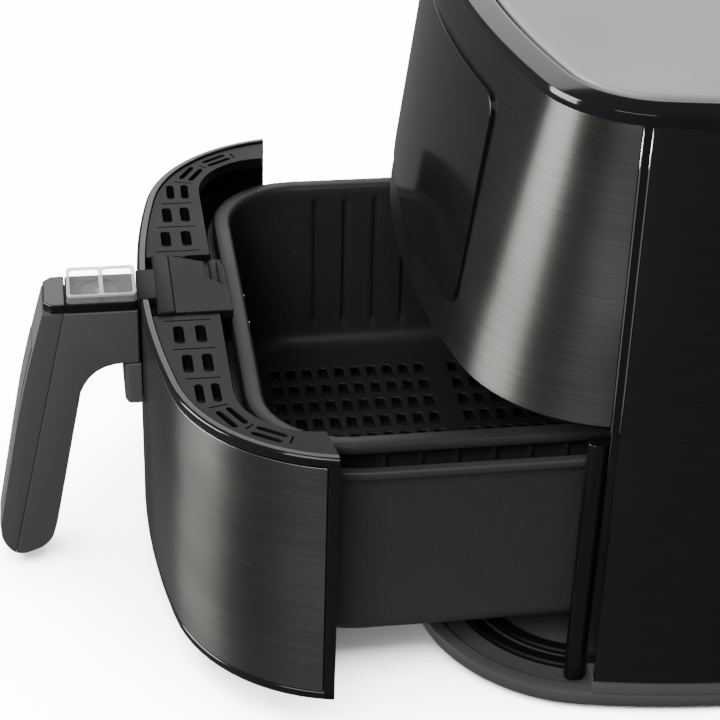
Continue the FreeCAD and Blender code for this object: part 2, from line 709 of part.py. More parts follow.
def make_button():
    """Release button with its stem, return spring, seat and the latch that it tips."""
    deck = size("arm_top")
    button = tube_z(size("button_radius"), 6, 0, BUTTON_Y, deck - 2)
    stem = tube_z(2.2, 15, 0, BUTTON_Y, PIVOT_Z + 1.8)
    solid("release_button", fuse([button, stem]))
    solid("button_spring", spring(4, 0.45, 9.8, 4.5, V(0, BUTTON_Y, deck - 12.9)))
    seat = block("seat_blank", "18.6", "18", "1.4",
                 ("0", "%.6f" % BUTTON_Y, "$arm_top; - 15"), "2")
    doc.recompute()
    plate = seat.Shape.cut(tube_z(2.8, 10, 0, BUTTON_Y, deck - 20))
    solid("button_seat", plate)
    lever = box(-4, 4, BUTTON_Y - 4, PIVOT_Y + 14, PIVOT_Z - 1.5, PIVOT_Z + 1.5)
    hook = box(-4, 4, PIVOT_Y + 11.4, PIVOT_Y + 14, PIVOT_Z - 7, PIVOT_Z)
    lever = fuse([lever, hook])
    lever = lever.cut(Part.makeCylinder(1.05, 30, V(-15, PIVOT_Y, PIVOT_Z), V(1, 0, 0)))
    solid("release_latch", lever)
    pin = Part.makeCylinder(1.0, 18.8, V(-9.4, PIVOT_Y, PIVOT_Z), V(1, 0, 0))
    solid("latch_pin", pin)


def make_deck():
    """Frame round the button, under the guard."""
    top = size("arm_top")
    frame = box(-13, 13, END - 103.6, END - 72.2, top + 0.1, top + 4.3)
    solid("button_deck", frame.cut(tube_z(size("button_radius") + 0.5, 10, 0, BUTTON_Y, top)))


def make_guard():
    guard = block("button_guard", "$grip_width; - 0.6", "$guard_length;", "$guard_thick;",
                  ("0", "%.6f - 87.5" % END, "$arm_top; + $cap_thick; + 0.3"), "2.5")
    keep(guard, "button_guard")


# ---------------------------------------------------------------- cavity, heater, fan

def make_cavity():
    """Drawer chamber: a rounded sheet-metal box, open to the front and to the heater."""
    half = size("pan_half") + size("pan_rim") + 2
    y1 = PAN_BACK + size("drawer_open") + 5
    z0, z1 = size("tray_top") + 8, size("chamber_top")
    corner = size("pan_corner") + 6
    walls = prism(tub(half + 1.2, SEAM - 80, y1 + 1.2, corner, z0), z1 - z0)
    walls = walls.cut(prism(tub(half, SEAM - 82, y1, corner - 1.2, z0 - 1), z1 - z0 - 0.2))
    walls = walls.common(box(-FAR, FAR, SEAM + 1, FAR, 0, FAR))
    walls = walls.cut(tube_z(size("hood_radius"), 10, 0, HUB_Y, z1 - 5))
    solid("cavity_liner", walls)


HUB_Y = 12.0


def make_heater():
    z0 = size("chamber_top")
    radius = size("hood_radius")
    height = size("hood_height")
    hood = Part.makeCone(radius + 5, radius - 14, height, V(0, HUB_Y, z0 + 0.3))
    hood = hood.cut(Part.makeCone(radius + 3.6, radius - 15.4, height - 1.4, V(0, HUB_Y, z0 + 0.3)))
    hood = hood.cut(tube_z(size("shaft_radius") + 1, 20, 0, HUB_Y, z0 + height - 8))
    solid("heater_hood", hood)
    coil_z = z0 + 8
    rings = [Part.makeTorus(size("coil_radius") - 14 * i, size("tube_radius"),
                            V(0, HUB_Y, coil_z)) for i in range(3)]
    link = box(-3, 3, HUB_Y + size("coil_radius") - 28, HUB_Y + size("coil_radius"),
               coil_z - 2, coil_z + 2)
    solid("heating_element", fuse(rings + [link]))
    bars = [box(-1, 1, -98, 98, 0, 1.6) for _ in range(4)]
    for i, bar in enumerate(bars):
        bar.rotate(V(0, 0, 0), V(0, 0, 1), 45 * i)
        bar.translate(V(0, HUB_Y, z0 + 0.9))
    for r in (95, 72, 50, 28):
        ring = tube_z(r, 1.6, 0, HUB_Y, z0 + 0.9).cut(tube_z(r - 2, 3, 0, HUB_Y, z0))
        bars.append(ring)
    solid("heater_guard", fuse(bars))


def blades(count, inner, outer, z0, height, pitch):
    shapes = []
    for i in range(count):
        blade = box(inner, outer, -0.8, 0.8, 0, height)
        blade.rotate(V(0, 0, 0), V(1, 0, 0), pitch)
        blade.rotate(V(0, 0, 0), V(0, 0, 1), 360.0 * i / count)
        blade.translate(V(0, HUB_Y, z0))
        shapes.append(blade)
    return shapes


def make_rotor():
    z0 = size("chamber_top") + 14
    hub = tube_z(9, 9, 0, HUB_Y, z0)
    disc = tube_z(size("fan_radius"), 1.2, 0, HUB_Y, z0 + 7.8)
    fan = fuse([hub, disc] + blades(8, 8, size("fan_radius"), z0, 8.2, 0))
    fan = fan.cut(tube_z(size("shaft_radius"), 30, 0, HUB_Y, z0 - 5))
    solid("convection_fan", fan)
    z1 = size("chamber_top") + size("hood_height") + 4
    hub = tube_z(9, 8, 0, HUB_Y, z1)
    cooler = fuse([hub] + blades(7, 8, size("cooler_radius"), z1 + 1, 6, 0))
    cooler = cooler.cut(tube_z(size("shaft_radius"), 30, 0, HUB_Y, z1 - 5))
    solid("cooling_fan", cooler)
    shaft = hidden("Part::Cylinder", "motor_shaft", Radius="$shaft_radius;",
                   Height="$hood_height; + 20 + $motor_height;",
                   Placement__Base__y="12", Placement__Base__z="$chamber_top; + 12")
    keep(shaft, "motor_shaft")


def make_motor():
    z0 = size("chamber_top") + size("hood_height") + 22
    radius, height = size("motor_radius"), size("motor_height")
    body = tube_z(radius, height, 0, HUB_Y, z0)
    body = body.cut(tube_z(size("shaft_radius") + size("shaft_gap"), height + 2, 0, HUB_Y, z0 - 1))
    solid("fan_motor", body)
    plate = box(-60, 60, HUB_Y - 14, HUB_Y + 14, z0 - 2.2, z0 - 0.2)
    plate = plate.cut(tube_z(size("shaft_radius") + 1, 5, 0, HUB_Y, z0 - 4))
    for side in (-1, 1):
        leg = box(side * 59 - 1, side * 59 + 1, HUB_Y - 14, HUB_Y + 14,
                  size("chamber_top") + size("hood_height") + 0.5, z0 - 0.2)
        plate = plate.fuse(leg)
    solid("motor_bracket", plate.removeSplitter())


def make_electrics():
    board = box(-62, 62, 72, 136, CROWN - 34, CROWN - 32.4)
    parts = [board, tube_z(9, 22, -35, 100, CROWN - 32.4), tube_z(9, 22, -12, 100, CROWN - 32.4),
             box(12, 40, 88, 116, CROWN - 32.4, CROWN - 14)]
    solid("power_board", fuse(parts))
    probe = Part.makeCylinder(2.5, 18, V(88, HUB_Y + 30, size("chamber_top") + 4), V(0, 0, 1))
    solid("temperature_sensor", probe)
    cutout = Part.makeCylinder(3, 14, V(-70, -50, size("chamber_top") + 38), V(0, 1, 0))
    solid("thermal_fuse", cutout)
    switch = block("drawer_switch", "12", "20", "10",
                   ("102", "-$seam_y; + 14", "$chamber_top; + 4"), "1")
    keep(switch, "drawer_switch")
    inlet = Part.makeCylinder(7.6, 12, V(95, BACK - 30, 40), V(0, 1, 0))
    inlet = inlet.cut(Part.makeCylinder(3.6, 20, V(95, BACK - 34, 40), V(0, 1, 0)))
    solid("cord_inlet", inlet)


def make_exhaust():
    """Rear outlet: a slatted grille behind the shell's slots and the duct to it."""
    y1 = size("crown_back") - 12
    frame = box(-54, 54, y1 - 4, y1, 172, 224).cut(box(-50, 50, y1 - 5, y1 + 1, 176, 220))
    slats = [box(-51, 51, y1 - 3, y1 - 1.6, 180 + 8 * i, 182 + 8 * i) for i in range(5)]
    solid("rear_grille", fuse([frame] + slats))
    duct = box(-52, 52, 96, y1 - 4.2, 182, 222)
    duct = duct.cut(box(-50.8, 50.8, 90, y1, 183.2, 220.8))
    solid("exhaust_duct", duct)


def make_screws():
    top = size("foot_height")
    places = [(x, y, top + 0.6) for x in (-90, 90) for y in (-60, 60)]
    screw_group("base_screws", places)
    seat("base_tray", "base_screws")
    z0 = size("chamber_top") + size("hood_height") + 16.0
    screw_group("motor_screws", [(x, HUB_Y, z0 + 1.8) for x in (-50, 50)])
    seat("motor_bracket", "motor_screws")
    nut = tube_z(5, 4, 0, HUB_Y, size("chamber_top") + 9.6)
    nut = nut.cut(tube_z(size("shaft_radius"), 30, 0, HUB_Y, size("chamber_top")))
    solid("fan_nut", nut)


def main():
    make_base()
    make_feet()
    make_shells()
    make_panel()
    make_crown()
    make_posts()
    make_drawer_front()
    make_vent_cover()
    make_pan()
    make_basket()
    make_bumpers()
    make_handle()
    make_fairing()
    make_bridge()
    make_cap()
    make_button()
    make_deck()
    make_guard()
    make_cavity()
    make_heater()
    make_rotor()
    make_motor()
    make_electrics()
    make_exhaust()
    make_screws()
    doc.recompute()
    for obj in doc.Objects:
        if "Invalid" in obj.State or "Error" in obj.State:
            raise RuntimeError("%s failed: %s" % (obj.Label, obj.State))
    os.makedirs("parts", exist_ok=True)
    for obj in NODES:
        shape = obj.Shape
        if shape.isNull() or not shape.isValid():
            raise RuntimeError("%s has no valid shape" % obj.Label)
        print("%-22s %d solids %10.0f mm3" % (obj.Label, len(shape.Solids), shape.Volume))
        shape.exportStep("parts/%s.step" % obj.Label)


main()
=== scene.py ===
import json
import math

import bmesh
import bpy
from bpy.props import FloatProperty, FloatVectorProperty, IntProperty, PointerProperty
from mathutils import Matrix, Vector


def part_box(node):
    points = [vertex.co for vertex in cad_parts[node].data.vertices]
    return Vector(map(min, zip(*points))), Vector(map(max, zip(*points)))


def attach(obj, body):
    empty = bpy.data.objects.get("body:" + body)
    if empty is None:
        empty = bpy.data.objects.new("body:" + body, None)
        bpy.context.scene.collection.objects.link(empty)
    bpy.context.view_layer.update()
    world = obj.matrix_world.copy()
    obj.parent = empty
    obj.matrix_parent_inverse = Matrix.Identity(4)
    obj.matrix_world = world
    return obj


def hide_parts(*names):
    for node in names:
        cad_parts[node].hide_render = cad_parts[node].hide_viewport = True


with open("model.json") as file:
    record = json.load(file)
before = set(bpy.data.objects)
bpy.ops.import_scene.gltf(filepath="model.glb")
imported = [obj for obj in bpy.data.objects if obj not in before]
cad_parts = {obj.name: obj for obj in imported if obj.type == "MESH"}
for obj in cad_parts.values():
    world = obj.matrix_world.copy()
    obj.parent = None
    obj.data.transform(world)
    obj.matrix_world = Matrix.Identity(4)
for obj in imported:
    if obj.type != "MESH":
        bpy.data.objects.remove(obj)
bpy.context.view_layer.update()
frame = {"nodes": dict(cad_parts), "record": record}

bl_info = {
    "name": "Air Fryer",
    "version": (1, 0, 0),
    "blender": (4, 5, 0),
    "location": "View3D > Sidebar > Air Fryer",
    "description": "Builds the looks of a basket air fryer round its packed CAD frame",
    "category": "Add Mesh",
}

UP = Vector((0, 0, 1))
LEFT_RIGHT = (-1, 1)
SKIN_GAP, HIGHLIGHT_LINE = 0.0002, 0.0005                     # end gap of a skin, width of each painted highlight line at the strip edges
REAR_START, REAR_PITCH, REAR_LOW, REAR_HIGH = 0.048, 0.008, 0.178, 0.218  # rear slots
VENT_FIRST, VENT_PITCH, VENT_LENGTH = 0.0430, 0.0236, 0.0145              # vent slots
UNDER_SHEET = 0.0006                                     # sheet under the vent slots


# ---------------------------------------------------------------- properties

def length(name, description, default):
    return FloatProperty(name=name, description=description, default=default, unit="LENGTH")


def colour(name, description, default):
    return FloatVectorProperty(name=name, description=description, default=default,
                               subtype="COLOR", size=3, min=0, max=1)


class HousingSizes(bpy.types.PropertyGroup):
    half_width: length("Half width", "Widest reach of a side from the middle", 0.153)
    back: length("Back reach", "From the middle to the back", 0.150)
    bow: length("Bow radius", "Radius of the bowed sides", 0.424)
    corner: length("Base corner", "Corner radius of the base and the drawer", 0.078)
    foot_front: length("Lower front", "Front reach of the shell at its foot", 0.163)
    crown_front: length("Upper front", "Front reach of the shell at its crown", 0.131)
    foot_corner: length("Lower corner", "Corner radius of the shell at its foot", 0.090)
    crown_corner: length("Upper corner", "Corner radius of the shell at its crown", 0.048)
    crown_half: length("Crown half width", "Half width of the shell at its crown", 0.1505)
    crown_back: length("Crown back", "Back reach of the shell at its crown", 0.148)
    seam: length("Side seam", "Where the side shell meets the gloss strip", 0.0825)
    strip: length("Strip width", "Width of the gloss strip in the seam", 0.0042)
    low: length("Shell foot", "Height of the shell's lower edge", 0.0176)
    mouth: length("Mouth height", "Height of the lip over the drawer", 0.145)
    lip: length("Lip height", "Height of the gloss lip over the mouth", 0.003)
    crown: length("Crown height", "Height where the rim sits on the shell", 0.279)
    base_front: length("Base front", "Front reach of the base", 0.1547)


class DrawerSizes(bpy.types.PropertyGroup):
    open_by: length("Pulled out", "How far the drawer stands out at rest", 0.1125)
    bottom: length("Front bottom", "Lower edge of the drawer front", 0.0175)
    top: length("Front top", "Upper edge of the drawer front", 0.142)
    border: length("Frame border", "Width of the gloss frame round the steel", 0.0045)
    cover_thick: length("Vent cover", "Thickness of the vent cover", 0.005)


class Colours(bpy.types.PropertyGroup):
    lid: colour("Lid", "Grey of the lid plate", (0.31, 0.31, 0.315))
    steel: colour("Black steel", "Dark brushed skin", (0.118, 0.118, 0.112))
    side: colour("Side shell", "Coating of the side shell", (0.016, 0.016, 0.017))
    satin: colour("Satin black", "Moulded inner parts", (0.0065, 0.0065, 0.007))
    gloss: colour("Gloss black", "Rim, strips and frames", (0.006, 0.006, 0.007))
    base: colour("Base grey", "Moulded base", (0.085, 0.085, 0.087))
    grip: colour("Grip grey", "Moulded handle", (0.078, 0.078, 0.080))
    coating: colour("Non-stick", "Pan and basket coating", (0.024, 0.024, 0.025))


# ---------------------------------------------------------------- materials

def link(tree, a, out, b, into):
    tree.links.new(a.outputs[out], b.inputs[into])


def grain(tree, coords, stretch, scale, detail=4.0):
    """Noise on the piece's own coordinates, stretched along its grain."""
    mapping = tree.nodes.new("ShaderNodeMapping")
    mapping.inputs["Scale"].default_value = stretch
    noise = tree.nodes.new("ShaderNodeTexNoise")
    noise.inputs["Scale"].default_value = scale
    noise.inputs["Detail"].default_value = detail
    link(tree, coords, "Object", mapping, "Vector")
    link(tree, mapping, "Vector", noise, "Vector")
    return noise


def spread(tree, source, out, low, high):
    span = tree.nodes.new("ShaderNodeMapRange")
    span.inputs["From Min"].default_value = 0.3
    span.inputs["From Max"].default_value = 0.7
    span.inputs["To Min"].default_value = low
    span.inputs["To Max"].default_value = high
    link(tree, source, out, span, "Value")
    return span


def finish(name, tint, rough, metal=0.0, vary=0.12, stretch=(1, 1, 1), scale=900.0,
           relief=0.02, depth=0.0002, rough_vary=0.05, flecks=0.0, brushed=0.0,
           specular=0.35, alpha=1.0):
    """A procedural finish: tint and gloss that drift with the grain, and fine relief."""
    material = bpy.data.materials.new(name)
    material.use_nodes = True
    tree = material.node_tree
    shader = tree.nodes["Principled BSDF"]
    shader.inputs["Metallic"].default_value = metal
    shader.inputs["Alpha"].default_value = alpha
    if brushed:
        shader.inputs["Anisotropic"].default_value = brushed
        shader.inputs["Anisotropic Rotation"].default_value = 0.25
        around = tree.nodes.new("ShaderNodeTangent")
        around.direction_type = "RADIAL"
        around.axis = "Z"
        link(tree, around, "Tangent", shader, "Tangent")
    shader.inputs["Specular IOR Level"].default_value = specular
    coords = tree.nodes.new("ShaderNodeTexCoord")
    fine = grain(tree, coords, stretch, scale)
    broad = grain(tree, coords, (1, 1, 1), 14.0, 2.0)
    mix = tree.nodes.new("ShaderNodeMix")
    mix.data_type = "RGBA"
    mix.inputs["A"].default_value = (*[c * (1 - vary) for c in tint], 1)
    mix.inputs["B"].default_value = (*[min(1, c * (1 + vary)) for c in tint], 1)
    link(tree, fine, "Fac", mix, "Factor")
    shade = mix
    if flecks:
        dots = tree.nodes.new("ShaderNodeTexVoronoi")
        dots.inputs["Scale"].default_value = 700.0
        link(tree, coords, "Object", dots, "Vector")
        ramp = tree.nodes.new("ShaderNodeMapRange")
        ramp.inputs["From Min"].default_value = 0.16
        ramp.inputs["From Max"].default_value = 0.05
        ramp.inputs["To Max"].default_value = flecks
        link(tree, dots, "Distance", ramp, "Value")
        shade = tree.nodes.new("ShaderNodeMix")
        shade.data_type = "RGBA"
        shade.inputs["B"].default_value = (0.22, 0.22, 0.22, 1)
        link(tree, ramp, "Result", shade, "Factor")
        link(tree, mix, "Result", shade, "A")
    link(tree, shade, "Result", shader, "Base Color")
    blur = spread(tree, broad, "Fac", rough - rough_vary, rough + rough_vary)
    link(tree, blur, "Result", shader, "Roughness")
    bump = tree.nodes.new("ShaderNodeBump")
    bump.inputs["Strength"].default_value = min(1.0, relief * 10)
    bump.inputs["Distance"].default_value = depth
    link(tree, fine, "Fac", bump, "Height")
    link(tree, bump, "Normal", shader, "Normal")
    return material


FINISHES = {}


def make_finishes(c):
    hairline = dict(stretch=(3, 3, 260), scale=9.0, depth=0.0001)
    FINISHES.update({
        "lid_grey": finish("lid_grey", c.lid, 0.42, vary=0.05, scale=1500, relief=0.02),
        "black_steel": finish("black_steel", c.steel, 0.36, metal=1.0, vary=0.35,
                              relief=0.02, brushed=0.85, **hairline),
        "side_black": finish("side_black", c.side, 0.42, metal=0.5, vary=0.40,
                             relief=0.02, brushed=0.7, **hairline),
        "black_satin": finish("black_satin", c.satin, 0.46, scale=1300, relief=0.03,
                              specular=0.14),
        "black_gloss": finish("black_gloss", c.gloss, 0.12, scale=60, relief=0.002,
                              rough_vary=0.03),
        "base_grey": finish("base_grey", c.base, 0.42, scale=1400, relief=0.04),
        "grip_grey": finish("grip_grey", c.grip, 0.38, scale=1400, relief=0.03),
        "nonstick": finish("nonstick", c.coating, 0.44, scale=1600, relief=0.06,
                           flecks=0.30, specular=0.22),
        "clear_guard": finish("clear_guard", (0.30, 0.30, 0.31), 0.10, vary=0.02,
                              relief=0.001, rough_vary=0.02, specular=0.5, alpha=0.22),
        # Paler, less clear finish for the guard's border: painted highlight on the edges of the
        # clear plastic.
        "guard_edge_highlight": finish("guard_edge_highlight", (0.70, 0.71, 0.72), 0.12, vary=0.02,
                             relief=0.001, rough_vary=0.02, specular=0.5, alpha=0.62),
        "pan_coat": finish("pan_coat", [k * 1.9 for k in c.coating], 0.50, scale=1600,
                           relief=0.06, flecks=0.35, specular=0.3),
        "foot_rubber": finish("foot_rubber", (0.02, 0.02, 0.02), 0.7, relief=0.06),
        "sheet_steel": finish("sheet_steel", (0.42, 0.42, 0.41), 0.36, metal=1.0,
                              stretch=(4, 200, 4), scale=8.0, relief=0.02),
        "bright_steel": finish("bright_steel", (0.50, 0.50, 0.50), 0.26, metal=1.0,
                               stretch=(2, 2, 60), scale=60.0, relief=0.01),
        "fan_alloy": finish("fan_alloy", (0.55, 0.55, 0.56), 0.34, metal=1.0,
                            stretch=(60, 3, 3), scale=20.0, relief=0.02),
        "board": finish("board", (0.01, 0.10, 0.035), 0.35, scale=500, relief=0.02),
        "motor_steel": finish("motor_steel", (0.14, 0.14, 0.15), 0.4, metal=0.8,
                              scale=700, relief=0.03),
        "heater_metal": finish("heater_metal", (0.06, 0.05, 0.045), 0.5, metal=0.8,
                               scale=500, relief=0.05),
        # Bright metal for the thin lines that paint the edge highlights beside the gloss strips.
        "painted_edge_highlight": finish("painted_edge_highlight", (0.62, 0.62, 0.62), 0.16, metal=1.0,
                              vary=0.05, scale=200, relief=0.002),
        "marking": finish("marking", (0.55, 0.55, 0.55), 0.5, scale=900, relief=0.01),
    })


# ---------------------------------------------------------------- shaping helpers

def corner_centre(side, side_radius, end, end_radius, corner):
    """Centre of the corner arc that touches a side arc and an end arc from inside."""
    d1, d2 = side_radius - corner, end_radius - corner
    apart = end - side
    along = (d1 * d1 - d2 * d2 + apart.length_squared) / (2 * apart.length)
    off = math.sqrt(d1 * d1 - along * along)
    unit = apart.normalized()
    normal = Vector((unit.y, -unit.x, 0))
    picks = (side + unit * along + normal * off, side + unit * along - normal * off)
    return max(picks, key=lambda p: p.x)


def bowed_arcs(half, front, back, bow, corner):
    """Arcs (centre, radius, from, to) of a rounded square with bowed sides, from -Y on."""
    side = Vector((half - bow, 0, 0))
    joints = []
    for sign, reach in ((-1, front), (1, back)):
        end = Vector((0, sign * (reach - bow), 0))
        centre = corner_centre(side, bow, end, bow, corner)
        if centre.y * sign < 0:
            centre.y = -centre.y
        turn = [math.atan2((centre - c).y, (centre - c).x) for c in (side, end)]
        joints.append((end, centre, turn[0], turn[1]))
    (front_end, fc, fs, fe), (back_end, bc, bs, be) = joints
    half_turn = math.pi
    flip = lambda p: Vector((-p.x, p.y, 0))
    return [
        (front_end, bow, -half_turn - fe, fe, 28), (fc, corner, fe, fs, 14),
        (side, bow, fs, bs, 24), (bc, corner, bs, be, 14),
        (back_end, bow, be, half_turn - be, 24),
        (flip(bc), corner, half_turn - be, half_turn - bs, 14),
        (flip(side), bow, half_turn - bs, half_turn - fs, 24),
        (flip(fc), corner, half_turn - fs, half_turn - fe, 14),
    ]


def tub_arcs(half, y0, y1, corner, steps=8):
    """Arcs of a plain rounded rectangle."""
    quarter = math.pi / 2
    spots = [(half - corner, y0 + corner, -quarter), (half - corner, y1 - corner, 0),
             (corner - half, y1 - corner, quarter), (corner - half, y0 + corner, 2 * quarter)]
    return [(Vector((x, y, 0)), corner, a, a + quarter, steps) for x, y, a in spots]


def loop(bm, arcs, z, closed=True, cuts=0):
    """A loop of edges at height z, each arc spun from one vertex."""
    known = set(bm.edges)
    ends = []
    for centre, radius, start, stop, steps in arcs:
        at = Vector((centre.x, centre.y, z))
        first = at + radius * Vector((math.cos(start), math.sin(start), 0))
        seed = bmesh.ops.create_vert(bm, co=first)["vert"]
        spun = bmesh.ops.spin(bm, geom=seed, cent=at, axis=UP, angle=stop - start,
                              steps=steps, use_duplicate=False)["geom_last"]
        last = [g for g in spun if isinstance(g, bmesh.types.BMVert)][0]
        ends.append((seed[0], last))
    count = len(ends)
    joins = [bm.edges.new((ends[i][1], ends[(i + 1) % count][0]))
             for i in range(count if closed else count - 1)]
    if cuts:
        bmesh.ops.subdivide_edges(bm, edges=joins, cuts=cuts)
    edges = [e for e in bm.edges if e not in known]
    verts = list({v for e in edges for v in e.verts})
    short = [e for e in edges if e.calc_length() < 1e-6]
    if short:
        bmesh.ops.remove_doubles(bm, verts=verts, dist=1e-6)
    return [e for e in bm.edges if e not in known]


def skin(bm, loops, ring=False):
    """Faces from each loop to the next, and back to the first for a closed ring.

    Each loop is held clear of its neighbour meanwhile, so level pairs pair up too.
    """
    pairs = list(zip(loops, loops[1:]))
    if ring:
        pairs.append((loops[-1], loops[0]))
    for a, b in pairs:
        verts = list({v for e in b for v in e.verts})
        up = 0.002 if b[0].verts[0].co.z >= a[0].verts[0].co.z else -0.002
        move(bm, (0, 0, up), verts)
        bmesh.ops.bridge_loops(bm, edges=a + b)
        move(bm, (0, 0, -up), verts)


def cap(bm, edges):
    bmesh.ops.contextual_create(bm, geom=edges)


def cut(bm, co, normal, fill=False):
    """Keep what lies behind the plane, and close the cut where asked."""
    geom = bm.verts[:] + bm.edges[:] + bm.faces[:]
    cut_edges = bmesh.ops.bisect_plane(bm, geom=geom, plane_co=co, plane_no=normal,
                                       dist=1e-7, clear_outer=True)["geom_cut"]
    if fill:
        edges = [g for g in cut_edges if isinstance(g, bmesh.types.BMEdge)]
        bmesh.ops.holes_fill(bm, edges=edges, sides=0)


def block(bm, low, high, edge=0.0, segments=3, upright_only=False):
    """A block between two corners with rounded edges."""
    low, high = Vector(low), Vector(high)
    made = bmesh.ops.create_cube(bm, size=1)["verts"]
    bmesh.ops.scale(bm, vec=high - low, verts=made)
    move(bm, (low + high) / 2, made)
    if edge:
        edges = list({e for v in made for e in v.link_edges})
        if upright_only:
            edges = [e for e in edges if abs(e.verts[0].co.z - e.verts[1].co.z) > 1e-6]
        soften(bm, edges, edge, segments)


def piece(bm, name, body, look, replaced=(), angle=32, bevel=0.0, segments=2, wall=0.0,
          repaint=None):
    """Turn a bmesh into a finished, smooth-shaded piece that rides on a body."""
    bmesh.ops.remove_doubles(bm, verts=bm.verts, dist=2e-6)
    bmesh.ops.recalc_face_normals(bm, faces=bm.faces)
    mesh = bpy.data.meshes.new(name)
    bm.to_mesh(mesh)
    bm.free()
    mesh.shade_smooth()
    mesh.set_sharp_from_angle(angle=math.radians(angle))
    mesh.materials.append(FINISHES[repaint or look])
    obj = bpy.data.objects.new(name, mesh)
    bpy.context.scene.collection.objects.link(obj)
    if wall:
        solid = obj.modifiers.new("wall", "SOLIDIFY")
        solid.thickness = wall
        solid.offset = -1
    if bevel:
        soft = obj.modifiers.new("edges", "BEVEL")
        soft.width = bevel
        soft.segments = segments
        soft.limit_method = "ANGLE"
        soft.angle_limit = math.radians(angle)
        soft.harden_normals = True
    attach(obj, body)
    if replaced:
        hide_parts(*replaced)
    return obj


def shell_arcs(h, inset, z):
    """Outline of the housing's skin at height z, moved inwards."""
    t = (z - h.low) / (h.crown - h.low)
    mix = lambda a, b: a + (b - a) * t
    return bowed_arcs(mix(h.half_width, h.crown_half) - inset,
                      mix(h.foot_front, h.crown_front) - inset,
                      mix(h.back, h.crown_back) - inset, h.bow - inset,
                      mix(h.foot_corner, h.crown_corner) - inset)


def base_arcs(h, inset):
    return bowed_arcs(h.half_width - inset, h.base_front - inset, h.back - inset,
                      h.bow - inset, h.corner - inset)


def shell_skin(h, heights, inset=0.0):
    bm = bmesh.new()
    skin(bm, [loop(bm, shell_arcs(h, inset, z), z) for z in heights])
    return bm


def shell_ring(h, profile):
    """A closed ring whose section is given as (inset, height) points."""
    bm = bmesh.new()
    skin(bm, [loop(bm, shell_arcs(h, i, z), z) for i, z in profile], ring=True)
    return bm


def base_ring(h, profile, bm=None):
    bm = bm or bmesh.new()
    skin(bm, [loop(bm, base_arcs(h, i), z) for i, z in profile], ring=True)
    return bm


def rows(low, high, count):
    return [low + (high - low) * i / count for i in range(count + 1)]


# ---------------------------------------------------------------- operators

class Maker:
    bl_options = {"REGISTER", "UNDO"}

    @property
    def h(self):
        return bpy.context.scene.fryer_housing

    @property
    def d(self):
        return bpy.context.scene.fryer_drawer


class FRYER_OT_finishes(Maker, bpy.types.Operator):
    """Make the finishes and give them to the CAD parts that stay in view"""
    bl_idname = "fryer.finishes"
    bl_label = "Finishes"

    def execute(self, context):
        make_finishes(context.scene.fryer_colours)
        for part in frame["record"]["subparts"]:
            node = frame["nodes"][part["node"]]
            node.data.materials.clear()
            node.data.materials.append(FINISHES[part["material_slot"]])
        return {"FINISHED"}


class FRYER_OT_crown(Maker, bpy.types.Operator):
    """Lid plate and the gloss rim round it"""
    bl_idname = "fryer.crown"
    bl_label = "Lid and rim"

    def execute(self, context):
        h = self.h
        rim = [(-0.0003, 0.2790), (-0.0004, 0.2796), (-0.0004, 0.2828), (-0.0001, 0.2834),
               (0.0006, 0.2837), (0.0072, 0.2856), (0.0080, 0.2858), (0.0088, 0.2856),
               (0.0091, 0.2850), (0.0091, 0.2791)]
        piece(shell_ring(h, rim), "rim_ring", "housing", "black_gloss", ["top_rim"])
        bm = bmesh.new()
        plate = [(0.0109, 0.2840), (0.0108, 0.2854), (0.0111, 0.2861), (0.0118, 0.2864),
                 (0.0130, 0.2865), (0.0160, 0.2865)]
        loops = [loop(bm, shell_arcs(h, i, z), z) for i, z in plate]
        skin(bm, loops)
        cap(bm, loops[0])
        cap(bm, loops[-1])
        piece(bm, "lid_panel", "housing", "lid_grey", ["lid_plate"])
        return {"FINISHED"}


